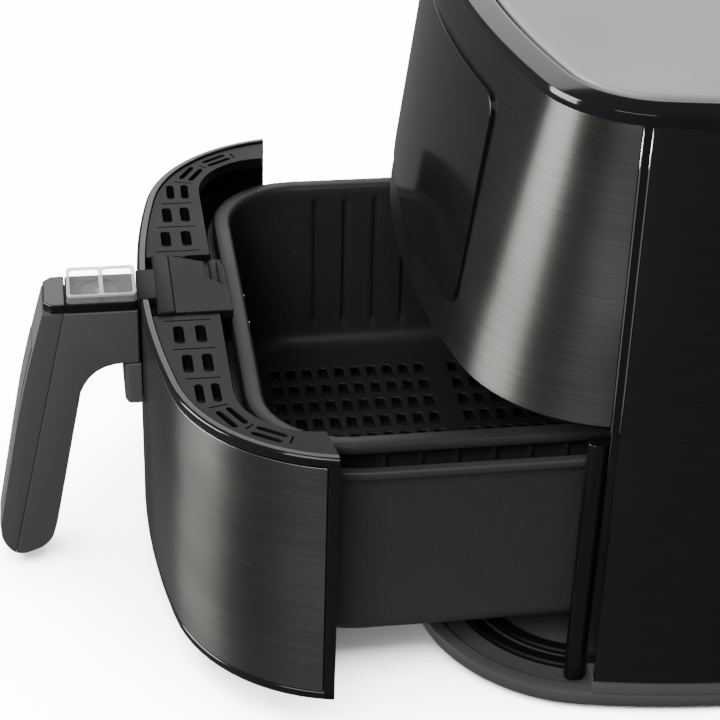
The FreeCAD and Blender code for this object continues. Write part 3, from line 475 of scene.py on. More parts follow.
class FRYER_OT_shells(Maker, bpy.types.Operator):
    """Side shell with its rear slots, front wrap, gloss strips and mouth lip"""
    bl_idname = "fryer.shells"
    bl_label = "Housing shells"

    def execute(self, context):
        h = self.h
        bm = shell_skin(h, rows(h.low, h.crown, 6))
        cut(bm, (0, -h.seam, 0), (0, -1, 0))
        self.slots(bm)
        piece(bm, "side_cover", "housing", "side_black", ["side_shell"], wall=0.0024,
              bevel=0.0005)
        strip = -h.seam - h.strip
        bm = shell_skin(h, rows(h.mouth + h.lip, h.crown, 6))
        cut(bm, (0, strip, 0), (0, 1, 0))
        piece(bm, "front_wrap", "housing", "black_steel", ["steel_wrap"], wall=0.001,
              bevel=0.0004)
        bm = shell_skin(h, rows(h.mouth, h.crown, 6), SKIN_GAP)
        cut(bm, (0, -h.seam - SKIN_GAP, 0), (0, 1, 0))
        cut(bm, (0, strip + SKIN_GAP, 0), (0, -1, 0))
        piece(bm, "gloss_strips", "housing", "black_gloss", ["seam_strips"], wall=0.003,
              bevel=0.0005)
        # Thin bright metal lines along both edges of the gloss strip: painted highlights that stand
        # in for the light caught by the edges of the wrap and the side shell.
        for y in (strip + SKIN_GAP, -h.seam - (SKIN_GAP + HIGHLIGHT_LINE)):
            bm = shell_skin(h, rows(h.mouth + 0.0004, h.crown - 0.0004, 6), 0.0001)
            cut(bm, (0, y + HIGHLIGHT_LINE, 0), (0, 1, 0))
            cut(bm, (0, y, 0), (0, -1, 0))
            piece(bm, "seam_edge_highlight", "housing", "black_gloss", wall=0.0004, repaint="painted_edge_highlight")
        lip = [(0.0004, 0.1478), (0.0007, 0.1474), (0.0026, 0.1457), (0.0034, 0.1452),
               (0.0052, 0.1451), (0.0062, 0.1455), (0.0062, 0.1478)]
        bm = shell_ring(h, lip)
        cut(bm, (0, strip, 0), (0, 1, 0), fill=True)
        piece(bm, "mouth_trim", "housing", "black_gloss", ["mouth_lip"])
        return {"FINISHED"}

    def slots(self, bm):
        """Cut the outlet slots into the back."""
        edges_x = [start + REAR_PITCH * i for i in range(13)
                   for start in (-REAR_START, -0.044)]
        planes = [((x, 0, 0), (1, 0, 0)) for x in edges_x]
        planes += [((0, 0, z), UP) for z in (REAR_LOW, REAR_HIGH)]
        for co, normal in planes:
            near = [f for f in bm.faces if f.calc_center_median().y > 0.1]
            geom = near + list({e for f in near for e in f.edges})
            geom += list({v for f in near for v in f.verts})
            bmesh.ops.bisect_plane(bm, geom=geom, plane_co=co, plane_no=normal, dist=1e-7)
        gone = []
        for face in bm.faces:
            c = face.calc_center_median()
            inside = (c.y > 0.1 and REAR_LOW < c.z < REAR_HIGH
                      and -REAR_START < c.x < 0.052)
            if inside and (c.x + REAR_START) % REAR_PITCH < REAR_PITCH / 2:
                gone.append(face)
        bmesh.ops.delete(bm, geom=gone, context="FACES")


class FRYER_OT_panel(Maker, bpy.types.Operator):
    """Touch panel on the front"""
    bl_idname = "fryer.panel"
    bl_label = "Touch panel"

    def execute(self, context):
        h = self.h
        low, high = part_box("touch_panel")
        bm = shell_skin(h, rows(low.z, high.z, 4), -0.0015)
        for sign in LEFT_RIGHT:
            cut(bm, (sign * high.x, 0, 0), (sign, 0, 0))
        cut(bm, (0, 0, 0), (0, 1, 0))
        self.round_corners(bm, high.x, low.z, high.z, 0.009)
        piece(bm, "control_glass", "housing", "black_gloss", ["touch_panel"], wall=0.003,
              bevel=0.0006, segments=3)
        return {"FINISHED"}

    def round_corners(self, bm, half, low, high, radius):
        """Trim each corner with planes that follow its arc."""
        for sx in LEFT_RIGHT:
            for sz, z in ((-1, low + radius), (1, high - radius)):
                centre = Vector((sx * (half - radius), 0, z))
                for i in range(1, 8):
                    a = math.pi / 2 * i / 8
                    normal = Vector((sx * math.cos(a), 0, sz * math.sin(a)))
                    cut(bm, centre + normal * radius, normal)


class FRYER_OT_base(Maker, bpy.types.Operator):
    """Base tray, its floor ridges, the collar under the side shell and the mouth posts"""
    bl_idname = "fryer.base"
    bl_label = "Base"

    def execute(self, context):
        h = self.h
        bm = bmesh.new()
        tray = [(0.0030, 0.0026), (0.0016, 0.0028), (0.0006, 0.0044), (0.0, 0.0062),
                (0.0, 0.0092), (0.0004, 0.0102), (0.0012, 0.0106), (0.0062, 0.0106),
                (0.0070, 0.0101), (0.0072, 0.0087)]
        loops = [loop(bm, base_arcs(h, i), z) for i, z in tray]
        skin(bm, loops)
        cap(bm, loops[0])
        cap(bm, loops[-1])
        piece(bm, "base_pan", "housing", "base_grey", ["base_tray"])
        bm = bmesh.new()
        for inset in (0.0170, 0.0262):
            base_ring(h, [(inset, 0.0086), (inset, 0.0104), (inset + 0.0008, 0.0111),
                          (inset + 0.0052, 0.0111), (inset + 0.0060, 0.0104),
                          (inset + 0.0060, 0.0086)], bm)
        cut(bm, (0, -h.seam, 0), (0, 1, 0), fill=True)
        piece(bm, "base_ridges", "housing", "black_satin", ["floor_ridge"])
        collar = [(0.0001, 0.0107), (0.0, 0.0112), (0.0013, 0.0168), (0.0020, 0.0175),
                  (0.0118, 0.0175), (0.0118, 0.0107)]
        bm = base_ring(h, collar)
        cut(bm, (0, -h.seam, 0), (0, -1, 0), fill=True)
        piece(bm, "base_band", "housing", "base_grey", ["base_collar"])
        for node, name in (("mouth_post_right", "post_right"), ("mouth_post_left", "post_left")):
            low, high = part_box(node)
            bm = bmesh.new()
            block(bm, low, high, 0.0030, 5, upright_only=True)
            piece(bm, name, "housing", "black_satin", [node], bevel=0.0006,
                  repaint="black_gloss")
        return {"FINISHED"}


class FRYER_OT_drawer_front(Maker, bpy.types.Operator):
    """Gloss frame of the drawer and its brushed steel skin"""
    bl_idname = "fryer.drawer_front"
    bl_label = "Drawer front"

    def execute(self, context):
        h, d = self.h, self.d
        end = -h.seam - 0.001
        low, top, border = d.bottom, d.top, d.border
        frame_section = [
            (0.0040, low + 0.0004), (0.0034, low), (0.0010, low), (0.0002, low + 0.0007),
            (0.0, low + 0.0015), (0.0, low + border - 0.0012), (0.0003, low + border - 0.0004),
            (0.0010, low + border), (0.0010, top - border), (0.0003, top - border + 0.0004),
            (0.0, top - border + 0.0012), (0.0, top - 0.0015), (0.0002, top - 0.0007),
            (0.0010, top), (0.0034, top), (0.0040, top - 0.0004)]
        bm = base_ring(h, frame_section)
        cut(bm, (0, end, 0), (0, 1, 0), fill=True)
        lips = base_ring(h, [(0.0, low + 0.002), (0.0, top - 0.002), (0.0030, top - 0.002),
                             (0.0030, low + 0.002)])
        cut(lips, (0, end + 0.00002, 0), (0, 1, 0), fill=True)
        cut(lips, (0, end - border, 0), (0, -1, 0), fill=True)
        join(bm, lips)
        self.pull(bm, d)
        piece(bm, "front_frame", "drawer", "black_gloss", ["drawer_front"], bevel=0.0004)
        bm = bmesh.new()
        edge = 0.0003
        levels = [low + border + edge] + rows(low + 0.012, top - 0.012, 3) + [top - border - edge]
        skin(bm, [loop(bm, base_arcs(h, 0.0001), z) for z in levels])
        cut(bm, (0, end - border - edge, 0), (0, 1, 0))
        self.pull(bm, d)
        piece(bm, "steel_skin", "drawer", "black_steel", ["front_skin"], wall=0.0009,
              bevel=0.0005, segments=2)
        return {"FINISHED"}

    def pull(self, bm, d):
        move(bm, (0, 0.001 - d.open_by, 0), bm.verts)


def outline_face(bm, size_x, size_y, rounding, segments=3):
    """A flat rounded rectangle round the origin."""
    verts = bmesh.ops.create_grid(bm, x_segments=1, y_segments=1, size=0.5)["verts"]
    bmesh.ops.scale(bm, vec=(size_x, size_y, 1), verts=verts)
    made = bmesh.ops.bevel(bm, geom=verts, offset=rounding, affect="VERTICES",
                           segments=segments, profile=0.5, material=-1)
    return made


def slot_edges(bm, at, angle, size_x, size_y, rounding):
    """The rim of a rounded slot, without a face."""
    known_verts, known_faces = set(bm.verts), set(bm.faces)
    outline_face(bm, size_x, size_y, rounding)
    verts = [v for v in bm.verts if v not in known_verts]
    faces = [f for f in bm.faces if f not in known_faces]
    bmesh.ops.delete(bm, geom=faces, context="FACES_ONLY")
    bmesh.ops.rotate(bm, cent=(0, 0, 0), matrix=Matrix.Rotation(angle, 3, "Z"), verts=verts)
    move(bm, at, verts)


def move(bm, vec, verts):
    """Shift the given points."""
    bmesh.ops.translate(bm, vec=vec, verts=verts)


def fill_in(bm, edges, **options):
    """Close an outline with triangles, leaving its inner loops open."""
    bmesh.ops.triangle_fill(bm, use_beauty=True, use_dissolve=False, edges=edges, **options)


def soften(bm, edges, offset, segments, **options):
    """Round the given edges."""
    bmesh.ops.bevel(bm, geom=edges, offset=offset, affect="EDGES", segments=segments,
                    profile=0.5, material=-1, **options)


def thicken(bm, depth):
    """Give flat faces a thickness downwards."""
    made = bmesh.ops.extrude_face_region(bm, geom=bm.faces[:])["geom"]
    verts = [g for g in made if isinstance(g, bmesh.types.BMVert)]
    move(bm, (0, 0, -depth), verts)


def mirrored(bm):
    """Add the other half across X."""
    bmesh.ops.mirror(bm, geom=bm.verts[:] + bm.edges[:] + bm.faces[:], axis="X",
                     matrix=Matrix(), merge_dist=1e-6)


class FRYER_OT_vent_cover(Maker, bpy.types.Operator):
    """Slotted cover between the drawer front and the basket"""
    bl_idname = "fryer.vent_cover"
    bl_label = "Vent cover"

    def execute(self, context):
        h, d = self.h, self.d
        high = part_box("vent_cover")[1]
        z, end = high.z, high.y
        shift = Vector((0, 0.001 - d.open_by, 0))
        arcs = [(c + shift, r, a, b, s) for c, r, a, b, s in base_arcs(h, 0.0043)]
        bm = bmesh.new()
        loop(bm, arcs, z)
        cut(bm, (0, end, 0), (0, 1, 0))
        half, front, radius = 0.123, end - 0.037, 0.034
        inside = [(Vector((half - radius, front + radius, 0)), radius, 0, -math.pi / 2, 10),
                  (Vector((radius - half, front + radius, 0)), radius, -math.pi / 2,
                   -math.pi, 10)]
        loop(bm, inside, z, closed=False)
        for sign in LEFT_RIGHT:
            side = [v for v in bm.verts if v.co.x * sign > 0]
            rim = max(side, key=lambda v: v.co.y)
            lip = min(side, key=lambda v: (v.co - Vector((sign * half, front + radius, z))).length)
            bm.edges.new((rim, lip))
        bmesh.ops.remove_doubles(bm, verts=bm.verts, dist=1e-6)
        under = bm.copy()
        self.slots(bm, half - radius, front, radius, z)
        for part, depth in ((bm, d.cover_thick - UNDER_SHEET), (under, UNDER_SHEET)):
            fill_in(part, part.edges[:])
            cut(part, (0.0266, 0, 0), (-1, 0, 0))
            thicken(part, depth)
        move(under, (0, 0, UNDER_SHEET - d.cover_thick), under.verts)
        join(bm, under)
        mirrored(bm)
        piece(bm, "slotted_cover", "drawer", "black_satin", ["vent_cover"], bevel=0.0004)
        return {"FINISHED"}

    def slots(self, bm, straight, front, radius, z):
        """Pairs of slots along the cover, with a fine groove between the pairs."""
        rim = [v.co.copy() for v in bm.verts]
        middle = radius + 0.0155
        for k in range(-1, 11):
            s = VENT_FIRST + VENT_PITCH / 2 * k
            angle = max(0.0, (s - straight) / middle)
            if angle > 1.30:
                break
            base = Vector((min(s, straight), front + radius, z))
            out = Vector((math.sin(angle), -math.cos(angle), 0))
            across = Vector((math.cos(angle), math.sin(angle), 0))
            ahead = [co for co in rim if (co - base).dot(out) > radius + 0.008]
            edge = min(ahead, key=lambda co: abs((co - base).dot(across)))
            width = (edge - base).dot(out) - radius
            if k % 2:
                slot_edges(bm, base + out * (radius + width / 2), angle, 0.0008,
                           width - 0.0085, 0.0003)
                continue
            for share in (0.34, 0.68):
                slot_edges(bm, base + out * (radius + width * share), angle, VENT_LENGTH,
                           min(0.0046, width * 0.18), 0.0018)


def tub_profile(bm, half, y0, y1, corner, profile, cuts=0):
    """Rounded-rectangle loops for a list of (inset, height) points, skinned together."""
    loops = [loop(bm, tub_arcs(half - i, y0 + i, y1 - i, max(corner - i, 0.001)), z, cuts=cuts)
             for i, z in profile]
    skin(bm, loops)
    return loops


def rounded_foot(inset, height, radius, steps=6):
    """Profile points of the fillet between a wall and a floor."""
    quarter = math.pi / 2
    return [(inset + radius * (1 - math.cos(quarter * i / steps)),
             height - radius * math.sin(quarter * i / steps)) for i in range(steps + 1)]


class FRYER_OT_pan(Maker, bpy.types.Operator):
    """Outer pan of the drawer"""
    bl_idname = "fryer.pan"
    bl_label = "Pan"

    def execute(self, context):
        low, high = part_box("drawer_pan")
        lip = 0.0036
        half, y0, y1 = high.x - lip, low.y + lip, high.y - lip
        top = high.z
        inner = rounded_foot(0.0048, low.z + 0.0102, 0.0088)[::-1]
        outer = rounded_foot(0.0036, low.z + 0.0100, 0.0100)
        rim = [(0.0014, top - 0.0010), (0.0008, top - 0.0002), (0.0, top), (-0.0030, top),
               (-0.0035, top - 0.0005), (-0.0036, top - 0.0012), (-0.0036, top - 0.0030),
               (-0.0032, top - 0.0036), (-0.0004, top - 0.0038), (0.0001, top - 0.0048)]
        bm = bmesh.new()
        loops = tub_profile(bm, half, y0, y1, 0.046, inner + rim + outer)
        cap(bm, loops[0])
        cap(bm, loops[-1])
        piece(bm, "pan_shell", "drawer", "nonstick", ["drawer_pan"], angle=40,
              repaint="pan_coat")
        return {"FINISHED"}


class FRYER_OT_basket(Maker, bpy.types.Operator):
    """Fluted basket with a perforated floor"""
    bl_idname = "fryer.basket"
    bl_label = "Basket"

    def execute(self, context):
        low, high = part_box("basket_shell")
        lip, floor = 0.005, low.z + 0.0014
        half, y0, y1, top = high.x - lip, low.y + lip, high.y - lip, high.z
        b = context.scene.fryer_basket
        rim = [(-0.0046, top - 0.0030), (-0.0050, top - 0.0024), (-0.0050, top - 0.0010),
               (-0.0044, top - 0.0002), (-0.0034, top), (0.0004, top), (0.0011, top - 0.0004),
               (0.0014, top - 0.0012)]
        drop = 0.0895 - 0.0090
        levels = [0.004, 0.006, 0.0072, 0.0084, 0.0096, 0.012, 0.025, 0.045, 0.062, 0.069,
                  0.0715, 0.0730, 0.0745, 0.0765]
        wall = [(0.0014 + 0.0036 * z / drop, top - z) for z in levels]
        foot = rounded_foot(0.0050, floor + 0.0090, 0.0090)
        bm = bmesh.new()
        loops = tub_profile(bm, half, y0, y1, 0.036, rim + wall + foot, cuts=b.columns)
        self.flutes(bm, b, y0, y1, top, floor)
        self.floor(bm, b, loops[-1], floor)
        piece(bm, "frying_basket", "drawer", "nonstick", ["basket_shell"], angle=40,
              wall=-0.0012)
        return {"FINISHED"}

    def flutes(self, bm, b, y0, y1, top, floor):
        """Push upright flutes outwards in the long walls and the end walls."""
        width = 0.0021
        middle = (y0 + y1) / 2
        for v in bm.verts:
            z = v.co.z
            if not floor + 0.010 < z < top - 0.005:
                continue
            rise = min((z - floor - 0.010) / 0.004, (top - 0.0055 - z) / 0.004, 1.0)
            rise = max(0.0, rise)
            along_side = abs(v.co.x) > 0.105 and y0 + 0.037 < v.co.y < y1 - 0.037
            t = (v.co.y - b.flute_start) / b.flute_pitch if along_side else v.co.x / b.flute_pitch
            off = abs(t - round(t)) * b.flute_pitch
            if off > width:
                continue
            push = b.flute_depth * rise * math.cos(math.pi / 2 * off / width)
            if along_side:
                v.co.x += math.copysign(push, v.co.x)
            elif abs(v.co.x) < 0.072:
                v.co.y += math.copysign(push, v.co.y - middle)

    def floor(self, bm, b, rim, z):
        """A sheet with two fields of holes, joined to the foot of the walls."""
        borders = []
        for first, last in ((b.field_near, b.field_near_end), (b.field_far, b.field_far_end)):
            count = round((last - first) / b.hole_pitch_y) + 1
            known_v, known_f = set(bm.verts), set(bm.faces)
            bmesh.ops.create_grid(bm, x_segments=b.hole_rows, y_segments=count, size=0.5)
            verts = [v for v in bm.verts if v not in known_v]
            bmesh.ops.scale(bm, vec=(b.hole_rows * b.hole_pitch_x, count * b.hole_pitch_y, 1),
                            verts=verts)
            move(bm, (0, (first + last) / 2, z), verts)
            cells = [f for f in bm.faces if f not in known_f]
            self.holes(bm, b, cells)
            far_x = b.hole_rows * b.hole_pitch_x / 2
            y0 = (first + last) / 2 - count * b.hole_pitch_y / 2
            y1 = y0 + count * b.hole_pitch_y
            for e in bm.edges:
                m = (e.verts[0].co + e.verts[1].co) / 2
                on_side = abs(abs(m.x) - far_x) < 1e-6 and y0 < m.y < y1
                on_end = min(abs(m.y - y0), abs(m.y - y1)) < 1e-6 and abs(m.x) < far_x
                if e.is_boundary and abs(m.z - z) < 1e-6 and (on_side or on_end):
                    borders.append(e)
        fill_in(bm, rim + borders, normal=UP)

    def holes(self, bm, b, cells):
        centres = [f.calc_center_median() for f in cells]
        gap_x = (b.hole_pitch_x - b.hole_x) / 2
        gap_y = (b.hole_pitch_y - b.hole_y) / 2
        bmesh.ops.inset_individual(bm, faces=cells, thickness=min(gap_x, gap_y),
                                   use_even_offset=True)
        for face, centre in zip(cells, centres):
            for v in face.verts:
                v.co.x = centre.x + math.copysign(b.hole_x / 2, v.co.x - centre.x)
                v.co.y = centre.y + math.copysign(b.hole_y / 2, v.co.y - centre.y)
        corners = [v for f in cells for v in f.verts]
        bmesh.ops.bevel(bm, geom=corners, offset=0.0012, affect="VERTICES", segments=1,
                        profile=0.5, material=-1)
        keys = {(round(c.x, 4), round(c.y, 4)) for c in centres}
        gone = [f for f in bm.faces
                if (round(f.calc_center_median().x, 4), round(f.calc_center_median().y, 4)) in keys
                and abs(f.calc_center_median().z - centres[0].z) < 1e-5]
        bmesh.ops.delete(bm, geom=gone, context="FACES")


class BasketSizes(bpy.types.PropertyGroup):
    columns: IntProperty(name="Columns", description="Cuts along each straight wall",
                         default=143, min=0, max=200)
    flute_pitch: length("Flute pitch", "Distance between the wall flutes", 0.0154)
    flute_start: length("First flute", "Place of one flute along the drawer", -0.1720)
    flute_depth: length("Flute depth", "How far a flute stands out", 0.0020)
    hole_rows: IntProperty(name="Hole rows", description="Rows of holes across the floor",
                           default=11, min=1, max=30)
    hole_pitch_x: length("Row pitch", "Distance between rows of holes", 0.0152)
    hole_pitch_y: length("Hole pitch", "Distance between holes in a row", 0.0083)
    hole_x: length("Hole width", "Size of a hole across the basket", 0.0094)
    hole_y: length("Hole length", "Size of a hole along the basket", 0.0046)
    field_near: length("Near field start", "First hole of the near field", -0.1960)
    field_near_end: length("Near field end", "Last hole of the near field", -0.1213)
    field_far: length("Far field start", "First hole of the far field", -0.1040)
    field_far_end: length("Far field end", "Last hole of the far field", -0.0293)


def join(bm, other):
    """Move another bmesh into this one."""
    mesh = bpy.data.meshes.new("scrap")
    other.to_mesh(mesh)
    other.free()
    bm.from_mesh(mesh)
    bpy.data.meshes.remove(mesh)


def side_plate(bm, points, x0, x1):
    """An outline in the YZ plane, from (y, z, rounding) points, widened from x0 to x1."""
    verts = [bmesh.ops.create_vert(bm, co=(x0, y, z))["vert"][0] for y, z, _ in points]
    bm.faces.new(verts)
    for v, (_, _, rounding) in zip(verts, points):
        if rounding:
            bmesh.ops.bevel(bm, geom=[v], offset=rounding, affect="VERTICES", segments=8,
                            profile=0.5, material=-1)
    made = bmesh.ops.extrude_face_region(bm, geom=bm.faces[:])["geom"]
    moved = [g for g in made if isinstance(g, bmesh.types.BMVert)]
    move(bm, (x1 - x0, 0, 0), moved)


class HandleSizes(bpy.types.PropertyGroup):
    half_width: length("Half width", "Half the width of the grip", 0.0135)
    rounding: length("Edge rounding", "Rounding of the grip's long edges", 0.0016)
    arm_depth: length("Arm depth", "Height of the arm above the arch", 0.0270)
    parting: length("Parting line", "Distance of the seam from the outer edge", 0.0095)
    strip_half: length("Strip half width", "Half the width of the back strip", 0.0092)
    strip_proud: length("Strip proud", "How far the strip stands out", 0.0004)


class FRYER_OT_handle(Maker, bpy.types.Operator):
    """Grip shells with their parting line, the back strip and the foot of the arm"""
    bl_idname = "fryer.handle"
    bl_label = "Handle"

    def execute(self, context):
        g = context.scene.fryer_handle
        for sign, node, name in ((1, "handle_right_shell", "grip_right"),
                                 (-1, "handle_left_shell", "grip_left")):
            low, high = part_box(node)
            whole = bmesh.new()
            for side in LEFT_RIGHT:
                part = bmesh.new()
                side_plate(part, self.outline(g, low, high), 0, sign * g.half_width)
                self.split(part, g, low, high, side)
                rim = [e for e in part.edges if all(abs(v.co.x) > 0.013 for v in e.verts)]
                soften(part, rim, g.rounding, 5, clamp_overlap=True)
                join(whole, part)
            piece(whole, name, "drawer", "grip_grey", [node])
        self.strip(g, low, high)
        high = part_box("handle_left_shell")[1]
        bm = bmesh.new()
        block(bm, (0.0006 - g.half_width, high.y - 0.0004, high.z - g.arm_depth + 0.0006),
              (g.half_width - 0.0006, high.y + 0.0008, high.z - 0.0006), 0.0003)
        piece(bm, "arm_gasket", "drawer", "black_satin")
        low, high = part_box("handle_fairing")
        bm = bmesh.new()
        block(bm, low, high)
        outer = [e for e in bm.edges if all(v.co.y < low.y + 1e-4 for v in e.verts)]
        soften(bm, outer, 0.0030, 5)
        piece(bm, "arm_foot", "drawer", "grip_grey", ["handle_fairing"], bevel=0.0004)
        return {"FINISHED"}

    def outline(self, g, low, high):
        """Side view of the grip: outer edge, heel, inner edge, arch and arm."""
        front, top, back = low.y + g.strip_proud, high.z, high.y
        under = top - g.arm_depth
        points = [
            (front + 0.0254, top, 0.0), (front + 0.0140, top - 0.0415, 0.020),
            (front, low.z + 0.0160, 0.0), (front + 0.0004, low.z + 0.0060, 0.007),
            (front + 0.0085, low.z, 0.004), (front + 0.0230, low.z + 0.0055, 0.006),
            (front + 0.0265, low.z + 0.0180, 0.0)]
        arch = ((0.0406, -0.0142), (0.0423, -0.0105), (0.0448, -0.0067), (0.0480, -0.0037),
                (0.0520, -0.0015), (0.0563, -0.0004), (0.0608, 0.0))
        points += [(front + y, under + z, 0.0) for y, z in arch]
        return points + [(back, under, 0.0), (back, top, 0.0)]

    def split(self, bm, g, low, high, side):
        """Keep the outer or the inner part, on one side of the parting line."""
        along = Vector((0, 0.0254, high.z - low.z - 0.016)).normalized()
        inward = Vector((0, along.z, -along.y))
        at = Vector((0, low.y + 0.0254, high.z)) + inward * (g.parting + side * 0.00012)
        cut(bm, at, inward * -side, fill=True)

    def strip(self, g, low, high):
        """Strip let into the outer edge of the grip."""
        front, top = low.y, high.z
        bm = bmesh.new()
        side_plate(bm, [
            (front + 0.0198, top - 0.0185, 0.0), (front + 0.0140, top - 0.0415, 0.010),
            (front, low.z + 0.0160, 0.0), (front + 0.0004, low.z + 0.0100, 0.003),
            (front + 0.0040, low.z + 0.0100, 0.0), (front + 0.0040, low.z + 0.0160, 0.0),
            (front + 0.0180, top - 0.0415, 0.0), (front + 0.0238, top - 0.0185, 0.0)],
            -g.strip_half, g.strip_half)
        piece(bm, "back_strip", "drawer", "black_satin", ["grip_strip"], bevel=0.0007,
              segments=3, repaint="grip_grey")


class FRYER_OT_release(Maker, bpy.types.Operator):
    """Cap, deck, release button with its arrow, and the clear sliding guard"""
    bl_idname = "fryer.release"
    bl_label = "Release button"

    def execute(self, context):
        self.cap()
        self.deck()
        self.button()
        self.guard()
        return {"FINISHED"}

    def cap(self):
        low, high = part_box("handle_cap")
        bm = bmesh.new()
        block(bm, low, high)
        corners = [e for e in bm.edges if abs(e.verts[0].co.z - e.verts[1].co.z) > 1e-4
                   and e.verts[0].co.y < (low.y + high.y) / 2]
        soften(bm, corners, 0.0036, 1)
        piece(bm, "grip_cap", "drawer", "black_gloss", ["handle_cap"], bevel=0.0006,
              segments=3)

    def deck(self):
        low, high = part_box("button_deck")
        at = Vector((0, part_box("release_button")[0].y + 0.0085, high.z))
        bm = bmesh.new()
        slot_edges(bm, Vector((0, (low.y + high.y) / 2, high.z)), 0, high.x - low.x,
                   high.y - low.y, 0.0015)
        ring = bmesh.ops.create_circle(bm, segments=48, radius=0.0091)["verts"]
        move(bm, at, ring)
        fill_in(bm, bm.edges[:])
        thicken(bm, high.z - low.z)
        piece(bm, "deck_frame", "drawer", "black_satin", ["button_deck"], bevel=0.0004)

    def button(self):
        low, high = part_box("release_button")
        radius = (high.x - low.x) / 2
        middle = Vector((0, (low.y + high.y) / 2, high.z))
        bm = bmesh.new()
        profile = [(0.0022, low.z), (0.0022, high.z - 0.0060), (radius - 0.0004, high.z - 0.0060),
                   (radius, high.z - 0.0055), (radius, high.z - 0.0012),
                   (radius - 0.0004, high.z - 0.0004), (radius - 0.0012, high.z),
                   (radius - 0.0018, high.z - 0.0003), (0.0030, high.z - 0.0008)]
        loops = []
        for r, z in profile:
            known = set(bm.edges)
            verts = bmesh.ops.create_circle(bm, segments=48, radius=r)["verts"]
            move(bm, (middle.x, middle.y, z), verts)
            loops.append([e for e in bm.edges if e not in known])
        skin(bm, loops)
        cap(bm, loops[0])
        cap(bm, loops[-1])
        piece(bm, "release_key", "button", "black_satin", ["release_button"],
              repaint="grip_grey")
        bm = bmesh.new()
        z = high.z - 0.0004
        for turn in (-0.7, 0.7):
            verts = bmesh.ops.create_cube(bm, size=1)["verts"]
            bmesh.ops.scale(bm, vec=(0.0045, 0.0007, 0.0005), verts=verts)
            move(bm, (0.0022, 0, 0), verts)
            bmesh.ops.rotate(bm, cent=(0, 0, 0), verts=verts,
                             matrix=Matrix.Rotation(math.pi / 2 + turn, 3, "Z"))
            move(bm, middle + Vector((0, -0.0015, -0.0004)), verts)
        piece(bm, "key_arrow", "button", "grip_grey", bevel=0.0001, repaint="marking")

    def guard(self):
        low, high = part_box("button_guard")
        bm = bmesh.new()
        block(bm, low, high, 0.0022, 4, upright_only=True)
        top = max(bm.faces, key=lambda f: f.calc_center_median().z)
        bmesh.ops.inset_region(bm, faces=[top], thickness=0.0022, depth=0)
        move(bm, (0, 0, -0.0016), top.verts)
        piece(bm, "clear_slide", "guard", "clear_guard", ["button_guard"], bevel=0.0005,
              segments=3)
        # The slide's raised border and crossbar, in a paler, less clear finish than the guard:
        # painted highlight along the edges of the clear plastic.
        middle, z, inset = (low + high) / 2, high.z - 0.0001, 0.0003
        bm = bmesh.new()
        size = high - low
        slot_edges(bm, Vector((middle.x, middle.y, z)), 0, size.x - 2 * inset,
                   size.y - 2 * inset, 0.0022)
        for side in LEFT_RIGHT:
            slot_edges(bm, Vector((middle.x, middle.y + side * (size.y / 4 - 0.0004), z)), 0,
                       size.x - 0.0032, size.y / 2 - 0.0028, 0.0016)
        fill_in(bm, bm.edges[:])
        thicken(bm, 0.0012)
        piece(bm, "slide_rim", "guard", "clear_guard", bevel=0.0003, repaint="guard_edge_highlight")


class FRYER_OT_bridge(Maker, bpy.types.Operator):
    """Bracket across the vent cover, with its steps and snap tabs"""
    bl_idname = "fryer.bridge"
    bl_label = "Handle bracket"

    def execute(self, context):
        low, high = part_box("handle_bridge")
        top, half = high.z, 0.026
        y_neck, y_cover = low.y + 0.0080, low.y + 0.0155
        bm = bmesh.new()
        block(bm, (-0.013, low.y, top - 0.0056), (0.013, y_neck + 0.001, top - 0.0001), 0.0006)
        block(bm, (-half, y_neck, top - 0.0053), (half, y_cover, top), 0.0006)
        points = ((-half, y_cover), (-half + 0.0075, high.y - 0.0095), (-0.0045, high.y - 0.0095),
                  (0.0055, high.y), (half, high.y), (half, y_cover))
        plate = bmesh.new()
        verts = [bmesh.ops.create_vert(plate, co=(x, y, top - 0.0005))["vert"][0]
                 for x, y in points]
        plate.faces.new(verts)
        thicken(plate, 0.0045)
        join(bm, plate)
        for y in (high.y - 0.0065, high.y - 0.0030):
            block(bm, (-half + 0.003, y - 0.0006, top - 0.0052), (-0.002, y + 0.0006, top - 0.0028))
        block(bm, (-half, y_cover, top - 0.0053), (-0.004, high.y - 0.0012, top - 0.0040), 0.0004)
        for x0, x1 in ((half - 0.001, half + 0.0004), (-half - 0.0004, -half + 0.001)):
            block(bm, (x0, y_cover + 0.0045, top - 0.0046), (x1, y_cover + 0.0085, top - 0.0012))
        block(bm, (-0.020, high.y - 0.0030, low.z), (0.020, high.y - 0.0002, top - 0.0030), 0.0005)
        piece(bm, "handle_bracket", "drawer", "black_satin", ["handle_bridge"], bevel=0.0004)
        return {"FINISHED"}


